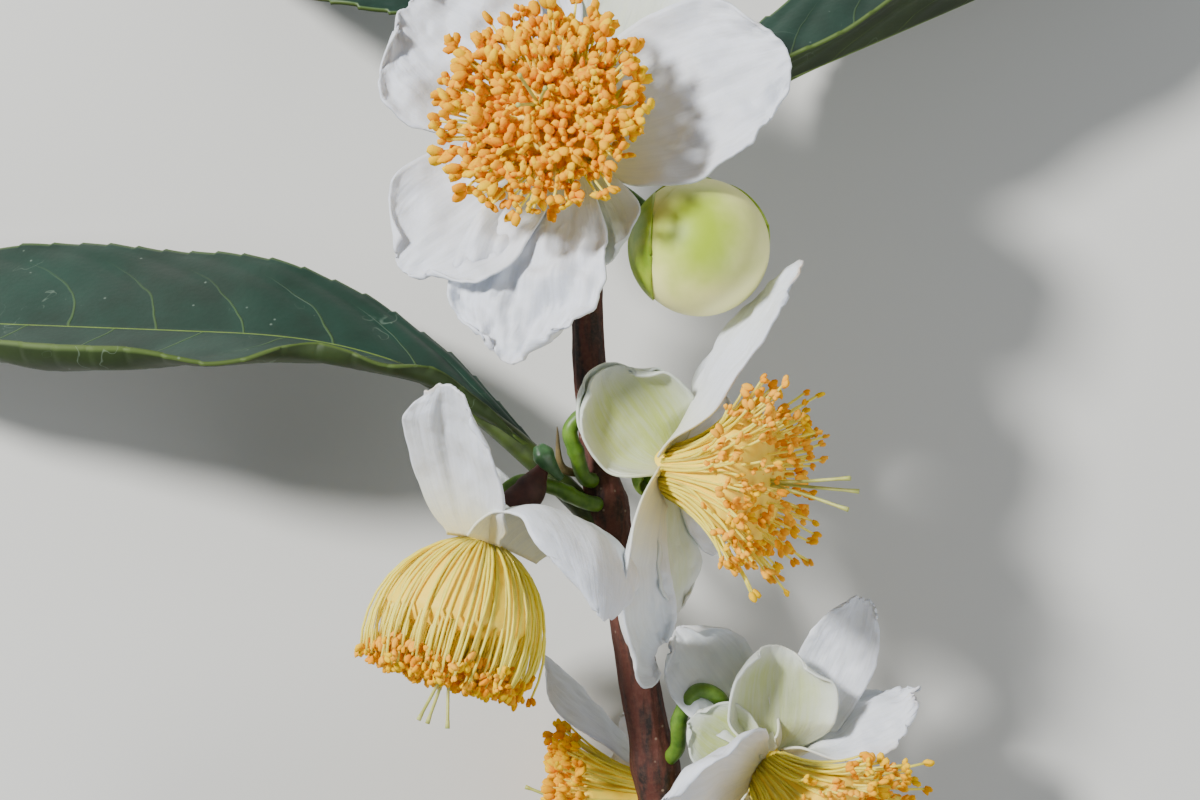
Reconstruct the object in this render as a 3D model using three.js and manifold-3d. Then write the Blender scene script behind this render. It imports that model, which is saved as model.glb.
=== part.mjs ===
// Flowering tea sprig, cut from its bush and lying on a floor.
// Millimetres, +Z up. The viewer looks straight down: +Y is the top of the picture, +X its right.
import * as THREE from 'three';
import Module from 'manifold-3d';
import { mergeVertices } from 'three/addons/utils/BufferGeometryUtils.js';

const wasm = await Module();
wasm.setup();

// Driving dimensions
const PLANT_SHIFT = [8.441, 7.673, 0.135];
const JOINT_GAP = 0.3;
const PETAL_THICK = 0.5;
const HUB_RADIUS = 2.6;
const HUB_TOP = 0.3;
const HUB_BOTTOM = -0.6;
const STALK_RADIUS = 0.62;
const CALYX_RADIUS = 2.1;
const CALYX_DEPTH = 2.4;
const STAMEN_BASE_RADIUS = 2.5;
const STAMEN_BASE_HEIGHT = HUB_TOP + JOINT_GAP;
const ANTHER_SIZE = 0.8;
const STYLE_RADIUS = 0.24;
const BUD_RADIUS = 6.6;

// Stem from its cut end to its tip: place of the centre line and radius
const STEM_LINE = [
  { at: [11.6, -72, 2.2], radius: 2.45 },
  { at: [10.1, -63, 6.6], radius: 2.4 },
  { at: [8.2, -52, 12.4], radius: 2.35 },
  { at: [6.3, -41, 16.6], radius: 2.25 },
  { at: [4.4, -30.5, 18.6], radius: 2.05 },
  { at: [1.3, -13, 20], radius: 1.75 },
  { at: [0.1, -8, 20.1], radius: 1.7 },
  { at: [-0.8, 0, 20.3], radius: 1.6 },
  { at: [-1.2, 10, 20.6], radius: 1.55 },
  { at: [-0.6, 22, 20.4], radius: 1.5 },
  { at: [0.3, 32, 20], radius: 1.3 },
  { at: [-0.5, 42, 19], radius: 1.05 },
];
// Swollen nodes where leaves and stalks leave: share of the stem's stations, height, length
const STEM_NODES = [
  { y: -48, swell: 0.35, length: 2.2 },
  { y: -36.5, swell: 0.4, length: 2.2 },
  { y: -10.5, swell: 0.45, length: 2.2 },
  { y: 24, swell: 0.35, length: 2.2 },
  { y: 38, swell: 0.3, length: 1.8 },
];

const LEAVES = {
  leaf_left: {
    root: [0.6, -11.6, 20.6], length: 99, width: 31.5, widest: 1.25, heading: 133.3, swing: 44.2, settle: 0.465,
    rise: 4, droop: -31.6, roll: 66, twist: -5, fold: 14, petiole: 0.09, wave: 0.6, thick: 1.0,
  },
  leaf_upper_right: {
    root: [-0.4, 24.4, 19.4], length: 82, width: 27, widest: 0.88, heading: 23, swing: 3, settle: 1,
    rise: -10, droop: -5.2, roll: -72, twist: 0, fold: 26, petiole: 0.07, wave: 0.6, thick: 0.85,
  },
  leaf_lower_left: {
    root: [8.4, -52, 12.6], length: 62, width: 25, widest: 0.88, heading: 172, swing: 40, settle: 1,
    rise: 30, droop: -85.2, roll: -12, twist: 0, fold: 10, petiole: 0.08, wave: 0.6, thick: 0.65,
  },
  leaf_upper_left: {
    root: [-0.2, 38, 19.2], length: 53, width: 20, widest: 0.88, heading: 160, swing: 0, settle: 1,
    rise: -5, droop: -20, roll: 20, twist: 0, fold: 15, petiole: 0.09, wave: 0.4, thick: 0.6,
  },
};

// Blooms: toward is the picture direction that the face leans to, tilt is how far it leans
const BLOOMS = {
  top: {
    centre: [-3.2, 24.8, 27.5], toward: 135, tilt: 20,
    stamens: { length: 13, spread: 46, bulge: 0, styles: 14 },
    stalk: [[-0.6, 22, 20.4], [-0.9, 22.4, 21.4], [-1.5, 23.0, 22.5]],
    petals: [
      { turn: 11, length: 22, width: 20, open: 80, curl: 5, cup: 20 },
      { turn: 70, length: 20, width: 14, open: 86, curl: 5, cup: 20 },
      { turn: 112, length: 19, width: 13, open: 84, curl: 8, cup: 20 },
      { turn: 152, length: 19.2, width: 20, open: 72, curl: 15, cup: 25 },
      { turn: 212, length: 16.8, width: 15, open: 74, curl: 12, cup: 25 },
      { turn: 259, length: 23, width: 15.5, open: 74, curl: 20, cup: 20 },
      { turn: 305, length: 10, width: 9, open: 90, curl: -10, cup: 30 },
    ],
  },
  side: {
    centre: [6.7, -6.9, 25.8], toward: -12, tilt: 63,
    stamens: { length: 14.5, spread: 44, bulge: 0, styles: 19 },
    stalk: [[0.1, -8.0, 20.2], [-1.5, -7.6, 22.8], [-2.3, -5.2, 24.4], [-2.9, -2.9, 25], [-1.6, -1.5, 25], [0.6, -2.4, 24.6]],
    petals: [
      { turn: 146, length: 13.5, width: 17, open: 116, curl: -44, cup: 75 },
      { turn: 72, length: 22.4, width: 12, open: 72, curl: -5, cup: 30 },
      { turn: 260, length: 23.5, width: 12, open: 86, curl: 2, cup: 85, lean: 8 },
      { turn: 290, length: 13.4, width: 10, open: 80, curl: 0, cup: 20 },
      { turn: 335, length: 16, width: 13, open: 75, curl: 0, cup: 20 },
      { turn: 20, length: 16, width: 13, open: 75, curl: 0, cup: 20 },
    ],
  },
  hanging: {
    centre: [-11.3, -14.0, 25], toward: -106, tilt: 80,
    stamens: { length: 15.5, spread: 42, bulge: 1, styles: 18 },
    stalk: [[0.4, -10.4, 20.8], [-1.6, -9.7, 23.7], [-4.8, -7.4, 24.9], [-7.9, -6.5, 25.4]],
    petals: [
      { turn: 99, length: 19.5, width: 11.5, open: 130, curl: -10, cup: 30 },
      { turn: 24, length: 22, width: 16.5, open: 142, curl: -148, cup: 35 },
      { turn: 248, length: 17, width: 13, open: 142, curl: 0, cup: 20 },
      { turn: 234, length: 12.5, width: 9.5, open: 58, curl: -12, cup: 20 },
      { turn: 268, length: 13, width: 9, open: 60, curl: -12, cup: 20 },
    ],
  },
  lower: {
    centre: [16.4, -36.6, 21], toward: -31, tilt: 60,
    stamens: { length: 14, spread: 46, bulge: 0, styles: 17 },
    stalk: [[6.0, -36.5, 17.8], [7.6, -34.5, 20.6], [7.9, -31, 22.3], [9.6, -28.5, 22.9], [11.6, -29.2, 22.5]],
    petals: [
      { turn: 56, length: 19.5, width: 13, open: 97, curl: 0, cup: 35 },
      { turn: 106, length: 15, width: 19, open: 116, curl: -44, cup: 75 },
      { turn: 1, length: 18.5, width: 12.5, open: 72, curl: 5, cup: 20 },
      { turn: 178, length: 17, width: 15, open: 90, curl: 0, cup: 40 },
      { turn: 44, length: 20.5, width: 14, open: 150, curl: 0, cup: 30, twist: -70 },
      { turn: 4, length: 15, width: 11, open: 156, curl: 0, cup: 30, twist: -60 },
      { turn: 250, length: 16, width: 13, open: 85, curl: 5, cup: 20 },
      { turn: 305, length: 15, width: 13, open: 85, curl: 5, cup: 20 },
    ],
  },
  shaded: {
    centre: [6.3, -41.5, 10], toward: 180, tilt: 88,
    stamens: { length: 12.5, spread: 32, bulge: 0, styles: 14 },
    stalk: [[7.6, -47, 14.6], [9.6, -46.5, 11.6], [10.6, -44, 9.8]],
    petals: [
      { turn: 90, length: 18, width: 13, open: 50, curl: -5, cup: 60 },
      { turn: 140, length: 10, width: 11, open: 66, curl: 0, cup: 20 },
      { turn: 180, length: 8.2, width: 10, open: 50, curl: 0, cup: 20 },
      { turn: 215, length: 9.6, width: 11, open: 64, curl: 0, cup: 20 },
      { turn: 252, length: 12, width: 10, open: 72, curl: 0, cup: 20 },
    ],
  },
};

const BUD = {
  centre: [9.6, 14.6, 28.5],
  toward: -30,
  tilt: 25,
  stalk: [[-0.6, 21.5, 20.4], [1.6, 20.8, 21.4], [4.6, 18.6, 21.6], [7.0, 16.6, 21.9]],
};

// Colours
const COLOURS = {
  bark: { colour: 0x5b332b, roughness: 0.85 },
  leaf: { colour: 0x2b4a35, roughness: 0.45 },
  young: { colour: 0x7ba32f, roughness: 0.55 },
  petal: { colour: 0xf1f0e6, roughness: 0.6 },
  stamen: { colour: 0xf2a93b, roughness: 0.8 },
  bud: { colour: 0xe4e2b4, roughness: 0.55 },
  dry: { colour: 0x5a2a22, roughness: 0.8 },
};

const radians = (degrees) => degrees * Math.PI / 180;
const smooth = (x) => {
  const t = Math.min(1, Math.max(0, x));
  return t * t * (3 - 2 * t);
};
const mix = (a, b, t) => a + (b - a) * t;

// Closed solid through rings of the same number of points, with a fan over each end
function loft(rings) {
  const count = rings[0].length;
  const points = [];
  const faces = [];
  rings.forEach((ring) => ring.forEach((point) => points.push(point)));
  for (let i = 0; i < rings.length - 1; i += 1) {
    for (let j = 0; j < count; j += 1) {
      const a = i * count + j;
      const b = i * count + (j + 1) % count;
      faces.push([a, b, b + count], [a, b + count, a + count]);
    }
  }
  for (const end of [0, rings.length - 1]) {
    const middle = new THREE.Vector3();
    rings[end].forEach((point) => middle.add(point));
    middle.divideScalar(count);
    points.push(middle);
    for (let j = 0; j < count; j += 1) {
      const a = end * count + j;
      const b = end * count + (j + 1) % count;
      faces.push(end === 0 ? [points.length - 1, b, a] : [points.length - 1, a, b]);
    }
  }
  return solidFrom(points, faces);
}

// Manifold body from points and faces, turned to face outward
function solidFrom(points, faces) {
  let volume = 0;
  for (const [a, b, c] of faces) {
    volume += points[a].dot(new THREE.Vector3().crossVectors(points[b], points[c])) / 6;
  }
  const turned = volume < 0 ? faces.map(([a, b, c]) => [a, c, b]) : faces;
  const vertProperties = new Float32Array(points.flatMap((point) => point.toArray()));
  const triVerts = new Uint32Array(turned.flat());
  return new wasm.Manifold(new wasm.Mesh({ numProp: 3, vertProperties, triVerts }));
}

// Joins bodies into one, keeps its largest outer shell and fills what the joining sealed
function fused(bodies) {
  let whole = bodies[0];
  bodies.slice(1).forEach((body) => {
    whole = whole.add(body);
  });
  return largestShell(whole);
}

function largestShell(body) {
  const { vertProperties, triVerts } = body.getMesh();
  const points = [];
  for (let i = 0; i < vertProperties.length; i += 3) {
    points.push(new THREE.Vector3(vertProperties[i], vertProperties[i + 1], vertProperties[i + 2]));
  }
  const parent = points.map((point, index) => index);
  const find = (index) => {
    let top = index;
    while (parent[top] !== top) top = parent[top];
    parent[index] = top;
    return top;
  };
  const faces = [];
  for (let i = 0; i < triVerts.length; i += 3) {
    faces.push([triVerts[i], triVerts[i + 1], triVerts[i + 2]]);
    parent[find(triVerts[i])] = find(triVerts[i + 1]);
    parent[find(triVerts[i + 1])] = find(triVerts[i + 2]);
  }
  const volumes = new Map();
  faces.forEach(([a, b, c]) => {
    const part = points[a].dot(new THREE.Vector3().crossVectors(points[b], points[c])) / 6;
    volumes.set(find(a), (volumes.get(find(a)) ?? 0) + part);
  });
  const best = [...volumes.entries()].sort((one, two) => two[1] - one[1])[0][0];
  return solidFrom(points, faces.filter(([a]) => find(a) === best));
}

// Smooth curve through a few named places
function curveThrough(places) {
  return new THREE.CatmullRomCurve3(places.map((place) => new THREE.Vector3(...place)), false, 'centripetal');
}

// Tube along a curve whose radius comes from a function of the share of its length
function tube(curve, stations, sides, radiusAt) {
  const rings = [];
  let across = new THREE.Vector3(1, 0, 0);
  for (let i = 0; i <= stations; i += 1) {
    const share = i / stations;
    const centre = curve.getPoint(share);
    const along = curve.getTangent(share);
    across = across.clone().addScaledVector(along, -across.dot(along));
    if (across.length() < 0.2) across = new THREE.Vector3(0, 0, 1).addScaledVector(along, -along.z);
    across.normalize();
    const up = new THREE.Vector3().crossVectors(along, across);
    const ring = [];
    for (let j = 0; j < sides; j += 1) {
      const angle = 2 * Math.PI * j / sides;
      const radius = radiusAt(share);
      ring.push(centre.clone()
        .addScaledVector(across, radius * Math.cos(angle))
        .addScaledVector(up, radius * Math.sin(angle)));
    }
    rings.push(ring);
  }
  return loft(rings);
}

const stemCurve = curveThrough(STEM_LINE.map((station) => station.at));
const STEM_SIDES = 10;
const STEM_STATIONS = 30;

function stemRadius(share, extra) {
  const place = share * (STEM_LINE.length - 1);
  const index = Math.min(STEM_LINE.length - 2, Math.floor(place));
  let radius = mix(STEM_LINE[index].radius, STEM_LINE[index + 1].radius, place - index);
  const y = stemCurve.getPoint(share).y;
  STEM_NODES.forEach((node) => {
    radius += node.swell * Math.exp(-(((y - node.y) / node.length) ** 2));
  });
  return radius + extra;
}

const stem = tube(stemCurve, STEM_STATIONS, STEM_SIDES, (share) => stemRadius(share, 0));
const stemClearance = tube(stemCurve, STEM_STATIONS, STEM_SIDES, (share) => stemRadius(share, JOINT_GAP));

// Cuts what is sunk into the stem back to the joint's gap
function clearOfStem(body) {
  return largestShell(body.subtract(stemClearance));
}

// Frame of a bloom: its axis starts upward and leans by tilt toward a picture direction
function bloomFrame(bloom) {
  const hinge = new THREE.Vector3(-Math.sin(radians(bloom.toward)), Math.cos(radians(bloom.toward)), 0);
  const turn = new THREE.Quaternion().setFromAxisAngle(hinge, radians(bloom.tilt));
  return (x, y, z) => new THREE.Vector3(x, y, z).applyQuaternion(turn).add(new THREE.Vector3(...bloom.centre));
}

// Width of a petal along its length: narrow claw, widest at two thirds, round tip
const PETAL_CLAW = 0.28;
const PETAL_WIDEST = 0.64;
function petalWidth(share) {
  if (share < PETAL_WIDEST) {
    return PETAL_CLAW + (1 - PETAL_CLAW) * Math.sin(Math.PI / 2 * share / PETAL_WIDEST) ** 1.25;
  }
  return Math.sqrt(Math.max(0, 1 - ((share - PETAL_WIDEST) / (1 - PETAL_WIDEST)) ** 2.2));
}

const PETAL_STATIONS = 7;
const PETAL_ACROSS = 5;
const PETAL_STEPS = 48;

// Petal as a curved blade: open is its angle from the axis, curl bends it along its length, cup across it
function petalBlade(bloom, petal) {
  const place = bloomFrame(bloom);
  const turnAt = (share) => radians(petal.turn + (petal.lean ?? 0) * share);
  const openAt = (share) => radians(petal.open + petal.curl * share);
  let position = new THREE.Vector3(Math.cos(radians(petal.turn)), Math.sin(radians(petal.turn)), 0)
    .multiplyScalar(HUB_RADIUS - 0.4);
  const line = [position.clone()];
  for (let i = 0; i < PETAL_STEPS; i += 1) {
    const share = (i + 0.5) / PETAL_STEPS;
    const open = openAt(share);
    const turn = turnAt(share);
    const step = new THREE.Vector3(Math.sin(open) * Math.cos(turn), Math.sin(open) * Math.sin(turn), Math.cos(open));
    position = position.clone().addScaledVector(step, petal.length / PETAL_STEPS);
    line.push(position);
  }
  const rings = [];
  for (let i = 0; i < PETAL_STATIONS; i += 1) {
    const share = Math.min(0.985, 1 - (1 - i / (PETAL_STATIONS - 1)) ** 1.35);
    const index = Math.min(PETAL_STEPS - 1, Math.floor(share * PETAL_STEPS));
    const middle = line[index].clone().lerp(line[index + 1], share * PETAL_STEPS - index);
    const open = openAt(share);
    const turn = turnAt(share);
    const along = new THREE.Vector3(Math.sin(open) * Math.cos(turn), Math.sin(open) * Math.sin(turn), Math.cos(open));
    const across = new THREE.Vector3(-Math.sin(turn), Math.cos(turn), 0);
    const face = new THREE.Vector3(-Math.cos(open) * Math.cos(turn), -Math.cos(open) * Math.sin(turn), Math.sin(open));
    const twist = radians((petal.twist ?? 0) * share);
    const side = across.clone().multiplyScalar(Math.cos(twist)).addScaledVector(face, Math.sin(twist));
    const inward = face.clone().multiplyScalar(Math.cos(twist)).addScaledVector(across, -Math.sin(twist));
    const half = petal.width / 2 * petalWidth(share);
    const bend = radians(petal.cup) * (0.35 + 0.65 * share);
    const upper = [];
    const lower = [];
    for (let j = 0; j < PETAL_ACROSS; j += 1) {
      const v = -1 + 2 * j / (PETAL_ACROSS - 1);
      const drawnBack = -0.1 * petal.length * v * v * smooth((share - 0.6) / 0.4);
      const point = middle.clone()
        .addScaledVector(side, half * Math.sin(bend * v) / bend)
        .addScaledVector(inward, half * (1 - Math.cos(bend * v)) / bend)
        .addScaledVector(along, drawnBack);
      const normal = inward.clone().multiplyScalar(Math.cos(bend * v)).addScaledVector(side, -Math.sin(bend * v));
      upper.push(point);
      lower.unshift(point.clone().addScaledVector(normal, -PETAL_THICK));
    }
    rings.push([...upper, ...lower].map((point) => place(point.x, point.y, point.z)));
  }
  return loft(rings);
}

// Body turned about a bloom's axis from pairs of radius and height
function turned(bloom, profile, sides) {
  const place = bloomFrame(bloom);
  return loft(profile.map(([radius, height]) => {
    const ring = [];
    for (let j = 0; j < sides; j += 1) {
      const angle = 2 * Math.PI * j / sides;
      ring.push(place(radius * Math.cos(angle), radius * Math.sin(angle), height));
    }
    return ring;
  }));
}

function bloomPetals(bloom) {
  const hub = turned(bloom, [[HUB_RADIUS - 0.5, HUB_BOTTOM], [HUB_RADIUS, -0.1], [HUB_RADIUS - 0.3, HUB_TOP]], 12);
  return fused([hub, ...bloom.petals.map((petal) => petalBlade(bloom, petal))]);
}

// Point on the path of one stamen: rho is 0 at the axis and 1 on the outside
const STAMEN_STEPS = 6;
function stamenPath(stamens, rho, angle, reach) {
  const start = radians(stamens.spread) * rho * (stamens.bulge ? 1.6 : 0.45);
  const end = radians(stamens.spread) * rho * (stamens.bulge ? -0.5 : 1.25);
  const length = stamens.length * (0.8 + 0.2 * rho) * reach;
  const steps = [];
  let radius = STAMEN_BASE_RADIUS * rho;
  let height = STAMEN_BASE_HEIGHT;
  steps.push({ radius, height });
  for (let k = 0; k < STAMEN_STEPS; k += 1) {
    const lean = mix(start, end, (k + 0.5) / STAMEN_STEPS);
    radius += Math.sin(lean) * length / STAMEN_STEPS;
    height += Math.cos(lean) * length / STAMEN_STEPS;
    steps.push({ radius, height });
  }
  return steps.map((step) => ({ ...step, angle }));
}

const BOSS_SIDES = 20;
const ANTHERS_SHOWN = 16;
const GOLDEN_TURN = 2.39996;

// Stamens as a fluted brush with anthers standing out of its face, and three styles
function bloomStamens(bloom) {
  const place = bloomFrame(bloom);
  const { stamens } = bloom;
  const at = ({ radius, height, angle }) => place(radius * Math.cos(angle), radius * Math.sin(angle), height);
  const columns = [];
  for (let j = 0; j < BOSS_SIDES; j += 1) {
    const angle = 2 * Math.PI * j / BOSS_SIDES;
    const rho = j % 2 ? 0.9 : 1;
    columns.push({ angle, outer: stamenPath(stamens, rho, angle, j % 2 ? 0.93 : 0.99) });
  }
  const rings = [0, 1, 2, 4, 6].map((step) => columns.map((column) => at(column.outer[step])));
  for (const rho of [0.68, 0.36]) {
    rings.push(columns.map((column) => at(stamenPath(stamens, rho, column.angle, 0.97)[STAMEN_STEPS])));
  }
  const bodies = [loft(rings)];
  for (let i = 0; i < ANTHERS_SHOWN; i += 1) {
    const rho = Math.sqrt((i + 0.7) / ANTHERS_SHOWN);
    const tip = stamenPath(stamens, rho, i * GOLDEN_TURN, 1)[STAMEN_STEPS];
    const anther = new THREE.OctahedronGeometry(ANTHER_SIZE);
    const where = at(tip);
    bodies.push(bodyOf(anther.translate(where.x, where.y, where.z)));
  }
  for (let i = 0; i < 3; i += 1) {
    const angle = 2 * Math.PI * i / 3;
    const foot = place(0, 0, 2);
    const middle = place(0.3 * Math.cos(angle), 0.3 * Math.sin(angle), stamens.length * 0.8);
    const end = place(1.7 * Math.cos(angle), 1.7 * Math.sin(angle), stamens.styles);
    const curve = curveThrough([foot.toArray(), middle.toArray(), end.toArray()]);
    bodies.push(tube(curve, 6, 5, () => STYLE_RADIUS));
  }
  return fused(bodies);
}

// Manifold body of a three.js geometry
function bodyOf(geometry) {
  geometry.deleteAttribute('normal');
  geometry.deleteAttribute('uv');
  const merged = mergeVertices(geometry, 1e-4);
  const points = [];
  for (let i = 0; i < merged.attributes.position.count; i += 1) {
    points.push(new THREE.Vector3().fromBufferAttribute(merged.attributes.position, i));
  }
  const faces = [];
  for (let i = 0; i < merged.index.count; i += 3) {
    faces.push([merged.index.getX(i), merged.index.getX(i + 1), merged.index.getX(i + 2)]);
  }
  return solidFrom(points, faces);
}

// Calyx cup under the petals, with the stalk that carries it
function calyxAndStalk(bloom) {
  const top = HUB_BOTTOM - JOINT_GAP;
  const cup = turned(bloom, [
    [CALYX_RADIUS - 0.3, top],
    [CALYX_RADIUS, top - 0.5],
    [CALYX_RADIUS - 0.5, top - CALYX_DEPTH * 0.7],
    [STALK_RADIUS, top - CALYX_DEPTH],
  ], 10);
  return clearOfStem(cup.add(stalkTube(bloom, 0)));
}

function stalkTube(bloom, extra) {
  const depth = HUB_BOTTOM - JOINT_GAP - CALYX_DEPTH;
  const foot = bloomFrame(bloom)(0, 0, depth * 0.6);
  const before = bloomFrame(bloom)(0, 0, depth - 0.6);
  const curve = curveThrough([...bloom.stalk, before.toArray(), foot.toArray()]);
  return tube(curve, 14, 7, (share) => STALK_RADIUS * (1 + 0.25 * smooth((share - 0.75) / 0.25)) + extra);
}

// Width of a leaf blade along its length: a larger widest puts its widest place nearer the tip
function leafWidth(share, widest) {
  if (share <= 0 || share >= 1) return 0;
  return Math.sin(Math.PI * share ** widest) ** 0.85 * (1 - 0.15 * share);
}

const LEAF_STATIONS = 16;
const LEAF_ACROSS = 5;
const LEAF_STEPS = 60;
const PETIOLE_SHARE = 0.075;

// Leaf: a folded blade along a curved midrib, on its petiole
function leafBlade(leaf) {
  const headingAt = (share) => radians(leaf.heading + leaf.swing * smooth(share / leaf.settle));
  const swingAt = leaf.settle < 1 ? headingAt : (share) => radians(leaf.heading + leaf.swing * share);
  const riseAt = (share) => radians(leaf.rise + leaf.droop * share);
  const directionAt = (share) => new THREE.Vector3(
    Math.cos(swingAt(share)) * Math.cos(riseAt(share)),
    Math.sin(swingAt(share)) * Math.cos(riseAt(share)),
    Math.sin(riseAt(share)),
  );
  let position = new THREE.Vector3(...leaf.root);
  const line = [position];
  for (let i = 0; i < LEAF_STEPS; i += 1) {
    position = position.clone().addScaledVector(directionAt((i + 0.5) / LEAF_STEPS), leaf.length / LEAF_STEPS);
    line.push(position);
  }
  const rings = [];
  for (let i = 0; i < LEAF_STATIONS; i += 1) {
    const share = Math.min(0.99, i / (LEAF_STATIONS - 1));
    const index = Math.min(LEAF_STEPS - 1, Math.floor(share * LEAF_STEPS));
    const middle = line[index].clone().lerp(line[index + 1], share * LEAF_STEPS - index);
    const along = directionAt(share);
    const heading = swingAt(share);
    const rise = riseAt(share);
    const up = new THREE.Vector3(
      -Math.cos(heading) * Math.sin(rise),
      -Math.sin(heading) * Math.sin(rise),
      Math.cos(rise),
    );
    const side = new THREE.Vector3().crossVectors(up, along);
    const roll = radians(leaf.roll + leaf.twist * share);
    const rolledSide = side.clone().multiplyScalar(Math.cos(roll)).addScaledVector(up, Math.sin(roll));
    const rolledUp = up.clone().multiplyScalar(Math.cos(roll)).addScaledVector(side, -Math.sin(roll));
    const blade = (share - leaf.petiole) / (1 - leaf.petiole);
    const half = leaf.width / 2 * Math.max(PETIOLE_SHARE, leafWidth(blade, leaf.widest));
    const fold = radians(leaf.fold) * smooth(blade * 6);
    const upper = [];
    const lower = [];
    for (let j = 0; j < LEAF_ACROSS; j += 1) {
      const v = -1 + 2 * j / (LEAF_ACROSS - 1);
      const ripple = blade > 0
        ? leaf.wave * Math.sin(2 * Math.PI * (3 * share + (v > 0 ? 0.15 : 0))) * Math.abs(v) ** 1.5 * Math.sin(Math.PI * blade)
        : 0;
      const point = middle.clone()
        .addScaledVector(rolledSide, half * v * Math.cos(fold))
        .addScaledVector(rolledUp, half * Math.abs(v) * Math.sin(fold) + ripple);
      upper.push(point);
      lower.unshift(point.clone().addScaledVector(rolledUp, -leaf.thick));
    }
    rings.push([...upper, ...lower]);
  }
  return clearOfStem(loft(rings));
}

// Bud: a ball a little longer than wide, with its calyx cut clear of it
function budBall(extra) {
  const profile = [];
  const bands = 9;
  for (let i = 0; i <= bands; i += 1) {
    const angle = Math.PI * mix(0.02, 0.98, i / bands);
    const radius = (BUD_RADIUS + extra) * Math.sin(angle);
    profile.push([radius, -(BUD_RADIUS + extra) * Math.cos(angle) * 1.03]);
  }
  return turned(BUD, profile, 16);
}

function budCalyx() {
  const cup = turned(BUD, [
    [0.7, -BUD_RADIUS * 1.03 - 1.6],
    [2.6, -BUD_RADIUS * 1.03 - 1.1],
    [5.2, -BUD_RADIUS * 0.72],
    [6.9, -BUD_RADIUS * 0.3],
    [5.6, -BUD_RADIUS * 0.3],
  ], 16);
  const foot = bloomFrame(BUD)(0, 0, -BUD_RADIUS * 1.03 - 1.0);
  const curve = curveThrough([...BUD.stalk, foot.toArray()]);
  const stalk = tube(curve, 12, 7, () => STALK_RADIUS);
  return clearOfStem(largestShell(cup.add(stalk).subtract(budBall(JOINT_GAP))));
}

// Small pointed bract or bud along a short line, cut clear of the stem and of the stalks beside it
function smallCone(places, foot, widest, tip) {
  const curve = curveThrough(places);
  let body = tube(curve, 7, 7, (share) => (
    share < 0.4 ? mix(foot, widest, smooth(share / 0.4)) : mix(widest, tip, ((share - 0.4) / 0.6) ** 1.4)
  ));
  Object.values(BLOOMS).forEach((bloom) => {
    body = body.subtract(stalkTube(bloom, JOINT_GAP));
  });
  return clearOfStem(body);
}

const BRACTS = {
  bract_pointed: { colour: 'dry', places: [[-1.2, -7.2, 20.4], [-3.4, -6.2, 21.8], [-3.8, -2.6, 22.4]], sizes: [0.4, 0.6, 0.12] },
  bract_flared: { colour: 'dry', places: [[-5.4, -6.2, 25.4], [-6.8, -8.6, 25.8], [-8.4, -10.6, 26]], sizes: [0.35, 1.1, 1.7] },
  bud_axillary: { colour: 'young', places: [[-3.4, -7.8, 25.2], [-4.6, -6.0, 26.2], [-5.4, -4.4, 26.4]], sizes: [0.5, 0.9, 0.3] },
  bud_tip: { colour: 'young', places: [[-0.5, 41, 19.2], [-0.7, 44, 19.0], [-0.6, 48, 18.6]], sizes: [0.9, 1.3, 0.15] },
  scale_leaf: { colour: 'young', places: [[6.6, -38.4, 17.4], [8.6, -38.2, 19.8], [10.2, -36.4, 20.2]], sizes: [0.5, 1.2, 0.3] },
};

const group = new THREE.Group();
group.name = 'tea_sprig';

function addNode(name, body, look) {
  const { vertProperties, triVerts } = body.getMesh();
  const geometry = new THREE.BufferGeometry();
  geometry.setAttribute('position', new THREE.BufferAttribute(Float32Array.from(vertProperties), 3));
  geometry.setIndex(new THREE.BufferAttribute(Uint32Array.from(triVerts), 1));
  geometry.translate(...PLANT_SHIFT);
  const merged = mergeVertices(geometry, 1e-4);
  merged.computeVertexNormals();
  const { colour, roughness } = COLOURS[look];
  const mesh = new THREE.Mesh(merged, new THREE.MeshStandardMaterial({ color: colour, roughness, metalness: 0 }));
  mesh.name = name;
  group.add(mesh);
}

addNode('stem', stem, 'bark');
for (const [name, leaf] of Object.entries(LEAVES)) {
  addNode(name, leafBlade(leaf), 'leaf');
}
for (const [name, bloom] of Object.entries(BLOOMS)) {
  addNode(`bloom_${name}_petals`, bloomPetals(bloom), 'petal');
  addNode(`bloom_${name}_stamens`, bloomStamens(bloom), 'stamen');
  addNode(`bloom_${name}_calyx`, calyxAndStalk(bloom), 'young');
}
addNode('bud_petals', budBall(0), 'bud');
addNode('bud_calyx', budCalyx(), 'young');
for (const [name, bract] of Object.entries(BRACTS)) {
  addNode(name, smallCone(bract.places, ...bract.sizes), bract.colour);
}

export default group;
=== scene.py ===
import math
from functools import partial

import bmesh
import bpy
import numpy as np
from bpy.props import FloatProperty, FloatVectorProperty, IntProperty, PointerProperty
from mathutils import Matrix, Vector


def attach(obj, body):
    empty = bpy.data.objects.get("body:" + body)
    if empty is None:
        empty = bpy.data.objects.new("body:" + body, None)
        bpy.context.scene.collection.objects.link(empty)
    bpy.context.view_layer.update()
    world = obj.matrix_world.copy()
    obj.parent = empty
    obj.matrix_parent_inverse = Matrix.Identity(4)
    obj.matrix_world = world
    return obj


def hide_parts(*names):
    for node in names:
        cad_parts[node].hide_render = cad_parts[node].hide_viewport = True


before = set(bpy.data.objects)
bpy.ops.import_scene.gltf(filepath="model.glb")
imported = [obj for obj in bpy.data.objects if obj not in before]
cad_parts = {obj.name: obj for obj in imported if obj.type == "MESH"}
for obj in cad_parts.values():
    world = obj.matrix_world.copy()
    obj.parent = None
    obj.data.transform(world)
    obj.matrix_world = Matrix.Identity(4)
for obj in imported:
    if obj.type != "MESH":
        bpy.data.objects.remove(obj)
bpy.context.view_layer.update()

bl_info = {
    "name": "Flowering Tea Sprig",
    "version": (1, 0, 0),
    "blender": (4, 5, 0),
    "location": "View3D > Sidebar > Tea Sprig",
    "description": "Builds a flowering tea sprig around its solids: bark, leaves, blooms and bud",
    "category": "Object",
}

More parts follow.
